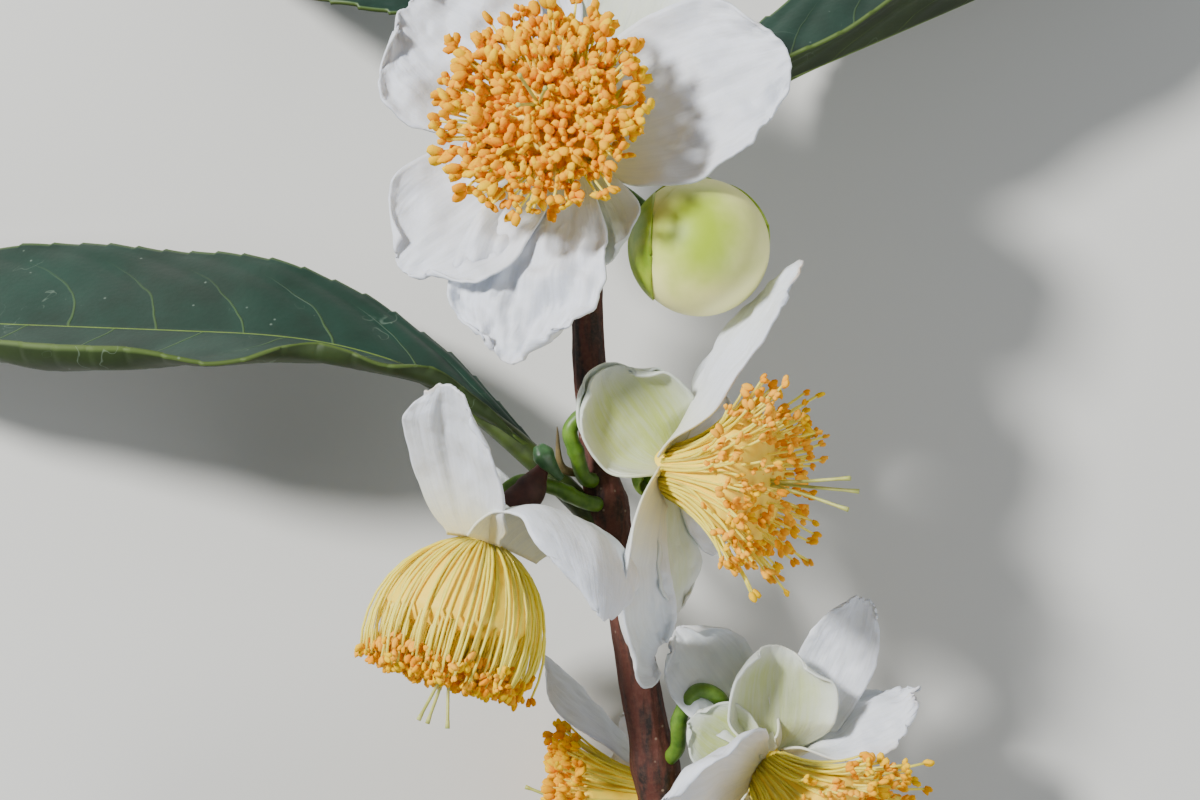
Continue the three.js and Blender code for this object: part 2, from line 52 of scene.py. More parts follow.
# Settings of a node that eases its range
SOFT = {"interpolation_type": "SMOOTHSTEP"}

# Lengths below are millimetres in the picture's own frame, and angles are degrees.
# The shift moves that frame to the centre of the solids' box.
MM = 0.001
PLANT_SHIFT = np.array([8.441, 7.673, 0.135])

# Stage, with the lamps' places in metres and their power in watts
CAMERA_HEIGHT = 260.0
CAMERA_LENS = 72.6
SENSOR_WIDTH = 36.0
NEAREST_VIEW = 0.01
FLOOR_SIZE = 3.0
FLOOR_COLOUR = 0xD9D8D2
SKY_COLOUR = (0.8, 0.89, 1.0, 1.0)
SKY_STRENGTH = 0.3
LAMPS = [
    {"name": "key", "place": (-0.78, 0.5, 0.86), "size": 0.2, "power": 29.0},
    {"name": "fill", "place": (0.9, -0.5, 0.8), "size": 0.9, "power": 6.5},
]

# First seeds of the random draws, and the steps from one bloom and one petal to the next
LEAF_SEED = 40
STALK_SEED = 60
SEPAL_SEED = 70
SMALL_SEED = 80
PETAL_SEED = 100
THREAD_SEED = 300
ANTHER_SEED = 320
HUE_SEED = 340
BLOOM_SEEDS = 40
PETAL_SEEDS = 6
SEPAL_SEEDS = 5

# Stem: places along its centre line with its radius there, and its swollen nodes as y, swell and length
STEM_LINE = np.array([
    (11.6, -72, 2.2, 2.45),
    (10.1, -63, 6.6, 2.4),
    (8.2, -52, 12.4, 2.35),
    (6.3, -41, 16.6, 2.25),
    (4.4, -30.5, 18.6, 2.05),
    (1.3, -13, 20, 1.75),
    (0.1, -8, 20.1, 1.7),
    (-0.8, 0, 20.3, 1.6),
    (-1.2, 10, 20.6, 1.55),
    (-0.6, 22, 20.4, 1.5),
    (0.3, 32, 20, 1.3),
    (-0.5, 42, 19, 1.05),
])
STEM_NODES = [(-48, 0.35, 2.2), (-36.5, 0.4, 2.2), (-10.5, 0.45, 2.2), (24, 0.35, 2.2), (38, 0.3, 1.8)]
STEM_SIDES = 56
STEM_ROWS = 460
STEM_LENGTH = 120


def leaf(root, length, width, **more):
    """Sizes of a leaf. Its blade is flat and even where more says nothing else."""
    plain = {"widest": 0.88, "swing": 0, "settle": 1, "twist": 0, "wave": 0.6, "rolled": [(0, 0), (1, 0)]}
    plain["spread"] = [(0, more["fold"]), (1, more["fold"])]
    return {**plain, "root": root, "length": length, "width": width, **more}


# Leaves have the sizes of their solids. Spread and rolled are angles along the half nearer the
# viewer: how it folds up, and how its rim rolls over. Teeth is their number on each edge.
LEAVES = {
    "leaf_left": leaf(
        (0.6, -11.6, 20.6), 99, 31.5, widest=1.25, heading=133.3, swing=44.2, settle=0.465, rise=4,
        droop=-31.6, roll=66, twist=-5, fold=14, petiole=0.09, teeth=27, rows=300,
        spread=[
            (0, -10), (0.16, -8), (0.2, 11), (0.27, 9), (0.34, -2), (0.4, 5), (0.5, 0), (0.6, -2), (1, 0),
        ],
        rolled=[
            (0, 150), (0.16, 190), (0.22, 170), (0.26, 55), (0.34, 160), (0.38, 35), (0.42, 20),
            (0.49, 95), (0.62, 115), (0.8, 90), (1, 30),
        ]),
    "leaf_upper_right": leaf(
        (-0.4, 24.4, 19.4), 82, 27, heading=23, swing=3, rise=-10, droop=-5.2, roll=-72, fold=26,
        petiole=0.07, teeth=24, rows=220),
    "leaf_lower_left": leaf(
        (8.4, -52, 12.6), 62, 25, heading=172, swing=40, rise=30, droop=-85.2, roll=-12, fold=10,
        petiole=0.08, teeth=19, rows=200),
    "leaf_upper_left": leaf(
        (-0.2, 38, 19.2), 53, 20, heading=160, rise=-5, droop=-20, roll=20, fold=15, petiole=0.09,
        wave=0.4, teeth=17, rows=180),
}
LEAF_COLUMNS = 50
LEAF_STEPS = 120
LEAF_SECTION = 10
TOOTH_DEPTH = 0.42
QUILT_DEPTH = 0.3
PETIOLE_RADIUS = 1.3
FULL_WIDTH = 33

# Side veins: pairs on a blade, where the first starts, how they lean and bend toward the margin,
# and how far the left ones stand before the right ones
VEIN_PAIRS = 9.7
VEIN_SHIFT = -0.16
VEIN_LEAN = 0.55
VEIN_BEND = 1.5
VEIN_STAGGER = 0.5

HUB_RADIUS = 2.6
HUB_BOTTOM = -0.6
PETAL_WIDEST = 0.64
PETAL_REACH = 0.985
PETAL_COLUMNS = 38
PETAL_ROWS = 50
PETAL_STEPS = 96
PETAL_SECTION = 8


def petal(turn, length, width, opening, **more):
    """Sizes of a petal, by the names that the comment on the blooms gives."""
    plain = {
        "root_radius": HUB_RADIUS - 0.4, "root_height": 0.0, "curl": 0, "cup": 20, "lean": 0, "twist": 0,
        "face": 0, "tip": 0, "rim": 0, "claw": 0.28, "disc": 0.0, "crinkle": 0.8, "ragged": 0.6,
        "tint": 0.0, "wilt": 0.25, "crease": 0.0,
    }
    return {**plain, "turn": turn, "length": length, "width": width, "open": opening, **more}


# Blooms: each axis starts upward and leans by tilt toward a picture direction.
# A petal turns round that axis, opens from it, curls along and cups across its blade. Lean swings
# it sideways, face turns it about its length, tip and rim curl its end and sides further. Claw is
# the share of its width at its foot, and disc makes its outline rounder. Crinkle and ragged shape
# the blade and its edge, and crease folds it near one side. Tint is its green flush, which on the
# cupped petals and the lower bloom's small back petal is partly painted shade, and wilt the brown
# of its rim.
# Sepals are the turns at which they stand, without those that a petal would run through.
# Swing turns the stamens about the upright, away from their solid, as in the photograph. Bulge
# marks threads that bow outward, short is the least share of their length, and hues are the
# shares of the four anther colours.
BLOOMS = {
    "top": {
        "centre": (-3.2, 24.8, 27.5), "toward": 135, "tilt": 20, "sepals": (20, 92, 164, 236, 308),
        "stamens": dict(
            swing=0, length=13, spread=46, bulge=0, styles=14, count=520, anther=1.55, short=0.78,
            hues=(0.55, 0.27, 0.18, 0.0)),
        "stalk": [(-0.6, 22, 20.4), (-0.9, 22.4, 21.4), (-1.5, 23.0, 22.5)],
        "petals": [
            petal(
                15, 21.4, 17.8, 79, curl=5, ragged=0.2, disc=0.9, rim=14, wilt=0.5, crinkle=1.0,
                claw=0.5),
            petal(70, 20, 14, 86, curl=5, tint=0.45, crinkle=0.5),
            petal(112, 19, 13, 84, curl=8),
            petal(139, 19.3, 18.5, 72, curl=15, cup=25, crinkle=1.6, rim=18),
            petal(221, 18.4, 15.5, 74, curl=12, cup=25, rim=24, tip=-12, ragged=0.2, disc=0.1),
            petal(260, 21.4, 15.2, 74, curl=18, crinkle=2.4, ragged=0.1, rim=8, disc=0.35),
            petal(290, 11.4, 9.5, 82, curl=8, cup=30, tint=0.5, ragged=0.3),
        ],
    },
    "side": {
        "centre": (6.7, -6.9, 25.8), "toward": -12, "tilt": 63, "sepals": (2, 218, 290),
        "stamens": dict(
            swing=6, length=14.5, spread=44, bulge=0, styles=19, count=320, anther=1.12, short=0.6,
            hues=(0.12, 0.15, 0.13, 0.6)),
        "stalk": [
            (0.1, -8.0, 20.2), (-1.5, -7.6, 22.8), (-2.3, -5.2, 24.4), (-2.9, -2.9, 25), (-1.6, -1.5, 25),
            (0.6, -2.4, 24.6),
        ],
        "petals": [
            # The two cupped petals have a full tint: their flush, deepened in the middle by the material,
            # is partly painted shade in their hollows.
            petal(
                112, 11.4, 13, 133, curl=-12, cup=58, rim=40, face=-46, root_radius=1.0, root_height=0.2,
                disc=1.0, claw=0.5, crinkle=0.3, ragged=0.1, tip=-12, tint=1.0),
            petal(
                110, 12, 12.4, 134, curl=-10, cup=54, rim=38, face=-46, root_radius=0.8, disc=1.0,
                claw=0.5, crinkle=0.3, ragged=0.1, tip=-20, tint=0.9),
            petal(
                98, 23, 9, 69, curl=-2, cup=20, rim=15, lean=-47, face=48, disc=0.8, claw=0.6,
                crinkle=0.9, ragged=0.5, tip=-10, wilt=1.0),
            petal(
                212, 23.8, 10.5, 88, curl=2, cup=80, lean=142, crinkle=0.8, ragged=1.0, tint=0.1,
                claw=0.5, disc=0.5, twist=5),
            petal(276, 12.2, 8.5, 80, tint=0.6, disc=0.3, ragged=0.2),
            petal(335, 11, 11, 75),
            petal(28, 9, 9, 80),
        ],
    },
    "hanging": {
        "centre": (-11.3, -14.0, 25), "toward": -106, "tilt": 80, "sepals": (28, 172, 244, 316),
        "stamens": dict(
            swing=0, length=15.5, spread=42, bulge=1, styles=18, count=520, anther=1.1, short=0.84,
            hues=(0.3, 0.3, 0.1, 0.3)),
        "stalk": [(0.4, -10.4, 20.8), (-1.6, -9.9, 23.4), (-4.8, -8.4, 24.4), (-7.8, -8.0, 25.0)],
        "petals": [
            petal(
                99, 19.8, 11.8, 130, curl=-10, cup=30, crease=0.7, disc=1.0, claw=0.5, ragged=0.6,
                wilt=0.5, crinkle=0.5, lean=-10, face=-18),
            petal(27, 23, 16.5, 150, curl=-158, cup=35, crinkle=0.4, claw=0.62, rim=18),
            petal(238, 12, 8, 142, tint=0.3),
            petal(234, 12.5, 9.5, 58, curl=-12),
            petal(268, 13, 9, 60, curl=-12),
        ],
    },
    "lower": {
        "centre": (16.4, -36.6, 21), "toward": -31, "tilt": 60, "sepals": (36, 180, 252, 324),
        "stamens": dict(
            swing=-12, length=14, spread=46, bulge=0, styles=17, count=340, anther=1.15, short=0.64,
            hues=(0.4, 0.25, 0.1, 0.25)),
        "stalk": [
            (6.0, -36.5, 17.8), (7.6, -34.5, 20.6), (7.9, -31, 22.3), (9.6, -28.5, 22.9),
            (11.6, -29.2, 22.5),
        ],
        "petals": [
            petal(
                31, 18.6, 7.6, 93, cup=15, lean=56, face=-62, root_height=-0.3, disc=0.35, claw=0.8,
                ragged=0.8, wilt=0.6),
            # This cupped petal's tint is partly painted shade in its hollow, over its green flush.
            petal(
                71, 11.2, 13.2, 120, curl=-10, cup=54, rim=40, face=-40, root_radius=1.5, disc=1.0,
                claw=0.5, crinkle=0.3, ragged=0.1, tip=-12, tint=0.8),
            petal(16, 15.6, 9, 60, curl=5, lean=60, face=60, crinkle=1.1, ragged=1.4),
            petal(156, 17, 17, 90, cup=40, rim=30, lean=35),
            petal(102, 15.5, 9.8, 148, cup=20, face=-20, tint=0.2, ragged=0.4),
            # This small back petal's full tint is partly painted shade, over its green flush.
            petal(141, 8.4, 7.4, 144, cup=30, tint=1.0, disc=0.5, crinkle=0.3),
            petal(250, 16, 13, 85, curl=5),
            petal(305, 15, 13, 85, curl=5),
        ],
    },
    "shaded": {
        "centre": (6.3, -41.5, 10), "toward": 180, "tilt": 88, "sepals": (36, 180, 252, 324),
        "stamens": dict(
            swing=0, length=12.5, spread=32, bulge=0, styles=14, count=230, anther=1.35, short=0.7,
            hues=(0.5, 0.35, 0.15, 0.0)),
        "stalk": [(7.6, -47, 14.6), (9.6, -46.5, 11.6), (10.6, -44, 9.8)],
        "petals": [
            petal(90, 18, 13, 50, curl=-5, cup=60, rim=15),
            petal(140, 10, 11, 66),
            petal(180, 8.2, 10, 50),
            petal(215, 9.6, 11, 64),
            petal(252, 12, 10, 72),
        ],
    },
}

# Stamens: threads on a ring inside the petals, joined at their feet, and anthers of two lobes.
# Leaving and arriving are the shares of the spread at which straight and bulging threads start and end.
STAMEN_BASE_RADIUS = 2.5
STAMEN_BASE_HEIGHT = 0.1
STAMEN_STEPS = 8
LEAVING = (0.45, 1.6)
ARRIVING = (1.25, -0.5)
THREAD_SIDES = 5
THREAD_RADIUS = 0.17
SHEATH_RING = 0.88
SHEATH_REACH = 0.66
SHEATH_STEPS = 12
ANTHER_LOBE = (0.31, 0.23, 0.47)
ANTHER_SHAPES = 5
STYLE_RADIUS = 0.16
GOLDEN_TURN = 2.39996

# Stalks and sepals. The receptacle is a profile of radius and height.
STALK_RADIUS = 0.76
CALYX_DEPTH = 2.4
STALK_DEPTH = HUB_BOTTOM - 0.3 - CALYX_DEPTH
RECEPTACLE = [(0.8, -3.4), (1.2, -2.9), (1.8, -1.8), (2.2, -0.7), (2.2, -0.2), (1.4, 0.0), (0.0, 0.05)]
SEPAL = petal(
    0, 2.9, 4.2, 96, root_radius=0.6, root_height=STALK_DEPTH + 0.2, curl=-76, cup=60, disc=0.6, claw=0.6,
    crinkle=0.1, ragged=0.1)
SEPAL_THICKNESS = 0.35

# Bud: a ball of overlapping petals on its calyx.
# Its petals and sepals are turn, half width and top as angles, and how far they stand off the ball.
BUD = {
    "centre": (9.6, 14.6, 28.5), "toward": -30, "tilt": 25,
    "stalk": [(-0.6, 21.5, 20.4), (1.6, 20.8, 21.4), (4.6, 18.6, 21.6), (7.0, 16.6, 21.9)],
}
BUD_RADIUS = 6.6
BUD_STRETCH = 1.03
BUD_PETALS = ((150, 80, 100, -0.3), (270, 78, 92, -0.34), (30, 70, 88, -0.38))
BUD_SEPALS = (
    (182, 58, 112, 0.02), (20, 52, 104, 0.02), (275, 46, 66, 0.02), (95, 48, 78, 0.02),
    (235, 46, 66, 0.02),
)

# Dry bracts and green scales: places, radii at foot, widest place and tip, where that place is,
# and the name, two colours and roughness of their skin
SMALL_PARTS = {
    "bract_pointed": dict(
        places=[(-1.2, -7.4, 20.4), (-3.7, -6.6, 22.2), (-4.2, -2.6, 23.2)], radii=(0.3, 0.42, 0.05),
        widest=0.4, skin=("dry pointed bract", 0x4C4022, 0x75643A, 0.7), slot="dry_bract"),
    "bract_flared": dict(
        places=[(-5.4, -6.2, 25.4), (-6.8, -8.6, 25.8), (-8.4, -10.6, 26)], radii=(0.6, 1.6, 2.1),
        widest=0.55, skin=("dry flared bract", 0x321310, 0x4E251C, 0.6), slot="dry_bract"),
    "bud_axillary": dict(
        places=[(-3.8, -7.6, 25.2), (-5.2, -5.8, 26.2), (-6.0, -4.4, 26.4)], radii=(0.4, 1.05, 0.5),
        widest=0.7, skin=("small bud skin", 0x2A4A2C, 0x44683E, 0.4), slot="young_green"),
    "bud_tip": dict(
        places=[(-0.5, 41, 19.2), (-0.7, 44, 19.0), (-0.6, 48, 18.6)], radii=(0.9, 1.3, 0.12),
        widest=0.4, skin=("tip bud skin", 0x5C8420, 0x86A445, 0.5), slot="young_green"),
    "scale_leaf": dict(
        places=[(6.6, -40, 17.4), (8.8, -39.4, 20.2), (10.6, -36.6, 21.4)], radii=(0.8, 1.7, 0.4),
        widest=0.5, skin=("scale leaf skin", 0x64801E, 0x8CA040, 0.5), slot="young_green"),
}


def linear(code):
    """Linear colour of an sRGB hex value."""
    parts = [(code >> shift & 255) / 255 for shift in (16, 8, 0)]
    return tuple(p / 12.92 if p <= 0.04045 else ((p + 0.055) / 1.055) ** 2.4 for p in parts)


def smooth(x):
    """Ease from 0 to 1."""
    t = np.clip(x, 0.0, 1.0)
    return t * t * (3 - 2 * t)


def mix(a, b, t):
    """Value between a and b."""
    return a + (b - a) * t


def wave_noise(x, y, seed):
    """Soft noise from about -1 to 1 over a plane, with one wave to a unit."""
    angles = np.random.default_rng(seed).uniform(0, 2 * np.pi, (64, 64))
    column = np.floor(x).astype(int)
    row = np.floor(y).astype(int)
    over = x - column
    up = y - row
    total = np.zeros_like(over)
    for i in (0, 1):
        for j in (0, 1):
            angle = angles[(column + i) % 64, (row + j) % 64]
            reach = np.cos(angle) * (over - i) + np.sin(angle) * (up - j)
            weight = (smooth(over) if i else 1 - smooth(over)) * (smooth(up) if j else 1 - smooth(up))
            total = total + weight * reach
    return total * 1.6


def metres(points):
    """Row frame in metres from picture frame in millimetres."""
    return (np.asarray(points, float) + PLANT_SHIFT) * MM


def ring(sides):
    """Angles of even steps round a circle."""
    return 2 * np.pi * np.arange(sides) / sides


def round_axis(radius, height, angle):
    """Places at a radius and an angle round the upright axis, and at a height."""
    return np.stack([radius * np.cos(angle), radius * np.sin(angle), height], axis=-1)


def swept(root, length, direction, steps, share):
    """Places at shares of a line that leaves its root by the direction at each share of its length."""
    ends = np.linspace(0, 1, steps + 1)
    middles = (ends[:-1] + ends[1:]) / 2
    line = np.vstack([root, root + np.cumsum(direction(middles) * length / steps, axis=0)])
    return np.stack([np.interp(share, ends, line[:, axis]) for axis in range(3)], axis=1)


def curve_through(places, shares):
    """Points of the centripetal curve that the solids use, at shares of its stretches."""
    places = np.array(places, float)
    ends = np.vstack([2 * places[0] - places[1], places, 2 * places[-1] - places[-2]])
    stretch = np.clip(shares, 0, 1) * (len(places) - 1)
    first = np.minimum(stretch.astype(int), len(places) - 2)
    t = (stretch - first)[:, None]
    p0, p1, p2, p3 = (ends[first + k] for k in range(4))
    d0, d1, d2 = (
        np.maximum(np.linalg.norm(b - a, axis=1, keepdims=True) ** 0.5, 1e-4)
        for a, b in ((p0, p1), (p1, p2), (p2, p3))
    )
    leave = ((p1 - p0) / d0 - (p2 - p0) / (d0 + d1) + (p2 - p1) / d1) * d1
    reach = ((p2 - p1) / d1 - (p3 - p1) / (d1 + d2) + (p3 - p2) / d2) * d1
    bend = 3 * (p2 - p1) - 2 * leave - reach
    return p1 + leave * t + bend * t**2 + (2 * (p1 - p2) + leave + reach) * t**3


def bloom_matrix(bloom, swing=0):
    """Frame of a bloom: its axis starts upward and leans by tilt toward a picture direction."""
    toward = math.radians(bloom["toward"] + swing)
    hinge = Vector((-math.sin(toward), math.cos(toward), 0))
    turn = Matrix.Rotation(math.radians(bloom["tilt"]), 4, hinge)
    return Matrix.Translation(Vector(bloom["centre"])) @ turn


def placed(matrix, points):
    """Points moved by a matrix."""
    whole = np.array(matrix)
    return np.asarray(points, float) @ whole[:3, :3].T + whole[:3, 3]


def unit(rows):
    """Directions of length 1."""
    return rows / np.linalg.norm(rows, axis=-1, keepdims=True)


def grid_places(bm, columns, rows):
    """New flat grid's corners, with the place of each from -1 to 1 both ways."""
    made = bmesh.ops.create_grid(bm, x_segments=columns, y_segments=rows, size=1.0)["verts"]
    return made, np.array([vert.co[:2] for vert in made])


def move_to(verts, places):
    """Moves corners to places in the picture's frame."""
    for vert, place in zip(verts, metres(places)):
        vert.co = place


def close_ends(bm, verts, distance):
    """Joins the corners that meet, and fills the open ends."""
    bmesh.ops.remove_doubles(bm, verts=verts, dist=distance)
    rim = [edge for edge in bm.edges if edge.is_boundary]
    bmesh.ops.holes_fill(bm, edges=rim, sides=0)


def add_sheet(bm, columns, rows, shape):
    """Grid of faces bent into shape(across, along), with across from 1 to -1 to face its inner side."""
    made, flat = grid_places(bm, columns, rows)
    across = -flat[:, 0]
    along = (flat[:, 1] + 1) / 2
    move_to(made, shape(across, along))
    return np.stack([(across + 1) / 2, along], axis=1)


def add_tube(bm, centres, radii, sides=None):
    """Closed tube along the centres: round by a radius for each, or by a table with one for each side."""
    table = radii if sides is None else np.repeat(radii[:, None], sides, axis=1)
    along = unit(np.gradient(centres, axis=0))
    side = np.empty_like(along)
    across = np.array([1.0, 0.0, 0.0])
    for index, direction in enumerate(along):
        across = across - direction * across.dot(direction)
        if np.linalg.norm(across) < 0.2:
            across = np.array([0.0, 0.0, 1.0]) - direction * direction[2]
        across = unit(across)
        side[index] = across
    up = np.cross(along, side)
    last = len(centres) - 1
    count = table.shape[1]
    made, flat = grid_places(bm, count, last)
    row = np.rint((flat[:, 1] + 1) / 2 * last).astype(int)
    column = np.rint((flat[:, 0] + 1) / 2 * count).astype(int) % count
    angle = (2 * np.pi * column / count)[:, None]
    out = side[row] * np.cos(angle) + up[row] * np.sin(angle)
    move_to(made, centres[row] + table[row, column][:, None] * out)
    close_ends(bm, made, 1e-8)


def add_spun(bm, profile, matrix, steps):
    """Turns a profile of radius and height about a bloom's axis and closes its ends."""
    standing = set(bm.verts)
    corners = [bm.verts.new((r, 0, z)) for r, z in profile]
    edges = [bm.edges.new(pair) for pair in zip(corners[:-1], corners[1:])]
    bmesh.ops.spin(
        bm, geom=corners + edges, cent=(0, 0, 0), axis=(0, 0, 1), angle=2 * math.pi, steps=steps,
        use_merge=True)
    made = [vert for vert in bm.verts if vert not in standing]
    move_to(made, placed(matrix, [vert.co[:] for vert in made]))
    close_ends(bm, made, 1e-7)
    bmesh.ops.recalc_face_normals(bm, faces=bm.faces[:])


def add_blade_map(mesh, shares):
    """UV map of the shares across and along a mesh's sheets or threads."""
    corners = np.empty(len(mesh.loops), np.int32)
    mesh.loops.foreach_get("vertex_index", corners)
    layer = mesh.uv_layers.new(name="Blade")
    layer.data.foreach_set("uv", shares[corners].astype(np.float32).ravel())


def finish_piece(name, shape, materials, node):
    """Object of a bmesh or a mesh that rides on the sprig and stands for a solid."""
    mesh = shape
    if isinstance(shape, bmesh.types.BMesh):
        mesh = bpy.data.meshes.new(name)
        shape.to_mesh(mesh)
        shape.free()
    for material in materials:
        mesh.materials.append(material)
    mesh.shade_smooth()
    piece = bpy.data.objects.new(name, mesh)
    bpy.context.scene.collection.objects.link(piece)
    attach(piece, "root")
    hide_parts(node)
    return piece


def thicken(piece, thickness, under=0):
    """Gives sheets their thickness below the shaped side."""
    solidify = piece.modifiers.new("Thickness", "SOLIDIFY")
    solidify.thickness = thickness * MM
    solidify.offset = -1
    solidify.use_rim = True
    solidify.material_offset = under
    solidify.material_offset_rim = under


def add_node(tree, kind, inputs=(), **settings):
    """Adds a node, sets its properties, and sets or links its inputs.

    Inputs are named, or a list in the node's own order. A node as an input links by its first output.
    """
    node = tree.nodes.new("ShaderNode" + kind)
    for name, value in settings.items():
        setattr(node, name, value)
    for name, value in inputs.items() if isinstance(inputs, dict) else enumerate(inputs):
        socket = node.inputs[name]
        if isinstance(value, bpy.types.Node):
            value = next(output for output in value.outputs if output.enabled)
        if isinstance(value, bpy.types.NodeSocket):
            tree.links.new(value, socket)
        else:
            socket.default_value = (*value, 1.0) if socket.type == "RGBA" else value
    return node


def new_material(name):
    """Material with an empty node tree, and the function that adds a node to that tree."""
    material = bpy.data.materials.new(name)
    material.use_nodes = True
    material.node_tree.nodes.clear()
    return material, partial(add_node, material.node_tree)


def shaded(material, inputs):
    """Material with its one shader, whose inputs are plain values or nodes."""
    add = partial(add_node, material.node_tree)
    add("OutputMaterial", {"Surface": add("BsdfPrincipled", inputs)})
    return material


def layered(add, colour, *layers):
    """Colour with others laid over it in turn, each by its share."""
    for share, over in layers:
        colour = add("Mix", {0: share, 6: colour, 7: over}, data_type="RGBA")
    return colour


def petal_material(looks):
    """Petal of living tissue: waxy, thin, lets light through, and faintly veined lengthwise."""
    material, add = new_material("living petal tissue")
    blade = add("UVMap", uv_map="Blade")
    along = add("SeparateXYZ", [blade]).outputs["Y"]
    spot = add("TexCoord").outputs["Object"]
    mottle = add("TexNoise", {"Vector": spot, "Scale": 1 / (7 * MM), "Detail": 3.0})
    foot = add("MapRange", [along, 0.38, 0.0, 0.0, 0.75], **SOFT)
    # The green flush is deepest in the middle of the blade and fades to cream toward its rim; this
    # deepening in the middle is painted shade for the hollow of a cupped petal.
    flush = add("Attribute", attribute_name="Tint").outputs["Fac"]
    patchy = add("MapRange", [mottle, 0.25, 0.7, 0.75, 1.0])
    apart = add("VectorMath", [blade, (0.5, 0.42, 0.0)], operation="DISTANCE")
    inner = add("MapRange", [apart, 0.56, 0.26, 0.4, 1.0], **SOFT)
    deep = add("Math", [patchy, inner], operation="MULTIPLY")
    green = add("Math", [flush, deep], operation="MULTIPLY")
    # The rim is brown in flecks where the petal wilts
    dry = add("Attribute", attribute_name="Wilt").outputs["Fac"]
    rim = add("MapRange", [along, 0.93, 1.0])
    fleck = add("MapRange", [mottle, 0.5, 0.66])
    edge = add("Math", [rim, fleck], operation="MULTIPLY")
    wilt = add("Math", [edge, dry], operation="MULTIPLY")
    # Veins run lengthwise about half a millimetre apart, and fine wrinkles lie between them
    stretched = add("Mapping", {"Vector": blade, "Scale": (26.0, 2.2, 1.0)})
    veins = add("TexNoise", {"Vector": stretched, "Scale": 1.0, "Detail": 3.0, "Roughness": 0.6})
    line = add("MapRange", [veins, 0.42, 0.6, 0.0, 0.28])
    wrinkle = add("TexNoise", {"Vector": spot, "Scale": 1 / (1.6 * MM), "Detail": 4.0, "Roughness": 0.65})
    ribs = add("Bump", {"Height": veins, "Strength": 0.5, "Distance": 0.16 * MM})
    bump = add("Bump", {"Height": wrinkle, "Strength": 0.5, "Distance": 0.22 * MM, "Normal": ribs})
    colour = layered(
        add, looks.petal_colour, (foot, linear(0xDFDDB0)), (green, looks.flush_and_shade_colour),
        (wilt, linear(0xC9A878)), (line, linear(0xC6CACB)))
    return shaded(material, {
        "Base Color": colour, "Normal": bump, "Roughness": 0.55, "IOR": 1.4, "Subsurface Weight": 0.25,
        "Subsurface Radius": (1.0, 0.95, 0.7), "Subsurface Scale": 0.6 * MM, "Sheen Weight": 0.1,
    })


def thread_material():
    """Stamen threads of watery tissue: golden where they join, pale yellow above."""
    material, add = new_material("stamen thread tissue")
    blade = add("UVMap", uv_map="Blade")
    along = add("SeparateXYZ", [blade]).outputs["Y"]
    foot = add("MapRange", [along, 0.45, 0.0], **SOFT)
    return shaded(material, {
        "Base Color": layered(add, linear(0xFFE450), (foot, linear(0xFFDC48))), "Roughness": 0.5,
        "Subsurface Weight": 0.6, "Subsurface Radius": (1.0, 0.85, 0.3), "Subsurface Scale": 1.2 * MM,
    })


def anther_material(name, colour):
    """Ripe anther: matte and grainy with pollen."""
    material, add = new_material(name)
    spot = add("TexCoord").outputs["Object"]
    grain = add("TexNoise", {"Vector": spot, "Scale": 1 / (0.45 * MM), "Detail": 3.0})
    deep = tuple(part * share for part, share in zip(colour, (0.95, 0.8, 0.7)))
    bump = add("Bump", {"Height": grain, "Strength": 0.5, "Distance": 0.1 * MM})
    return shaded(material, {
        "Base Color": layered(add, deep, (grain, colour)), "Normal": bump, "Roughness": 0.9,
        "Specular IOR Level": 0.06, "Subsurface Weight": 0.2, "Subsurface Radius": (1.0, 0.6, 0.2),
        "Subsurface Scale": 0.4 * MM,
    })


def green_material(name, colour, pale, roughness):
    """Young green skin: satin, mottled paler, with fine pores."""
    material, add = new_material(name)
    spot = add("TexCoord").outputs["Object"]
    mottle = add("TexNoise", {"Vector": spot, "Scale": 1 / (1.8 * MM), "Detail": 4.0, "Roughness": 0.6})
    share = add("MapRange", [mottle, 0.35, 0.7])
    bump = add("Bump", {"Height": mottle, "Strength": 0.4, "Distance": 0.15 * MM})
    return shaded(material, {
        "Base Color": layered(add, linear(colour), (share, linear(pale))), "Normal": bump,
        "Roughness": roughness, "Subsurface Weight": 0.1, "Subsurface Scale": 0.5 * MM,
    })


def leaf_veins(add, blade, spot):
    """Nodes over a blade: 1 on a side vein and 0 between them, and the share from midrib to margin."""
    place = add("SeparateXYZ", [blade])
    signed = add("Math", [place.outputs["X"], 2.0, -1.0], operation="MULTIPLY_ADD")
    away = add("Math", [signed], operation="ABSOLUTE")
    squared = add("Math", [away, 2.0], operation="POWER")
    slope = add("Math", [squared, VEIN_BEND, VEIN_LEAN], operation="MULTIPLY_ADD")
    bent = add("Math", [slope, away], operation="MULTIPLY")
    straight = add("Math", [place.outputs["Y"], VEIN_PAIRS, VEIN_SHIFT], operation="MULTIPLY_ADD")
    phase = add("Math", [straight, bent], operation="SUBTRACT")
    left = add("Math", [signed, 0.0], operation="LESS_THAN")
    staggered = add("Math", [left, VEIN_STAGGER, phase], operation="MULTIPLY_ADD")
    wander = add("TexNoise", {"Vector": spot, "Scale": 1 / (6 * MM)})
    wobble = add("Math", [wander, 0.22, staggered], operation="MULTIPLY_ADD")
    distance = add("Math", [wobble, 0.5], operation="PINGPONG")
    line = add("MapRange", [distance, 0.022, 0.006], **SOFT)
    fade = add("MapRange", [away, 0.78, 0.2])
    vein = add("Math", [line, fade], operation="MULTIPLY")
    return vein, away


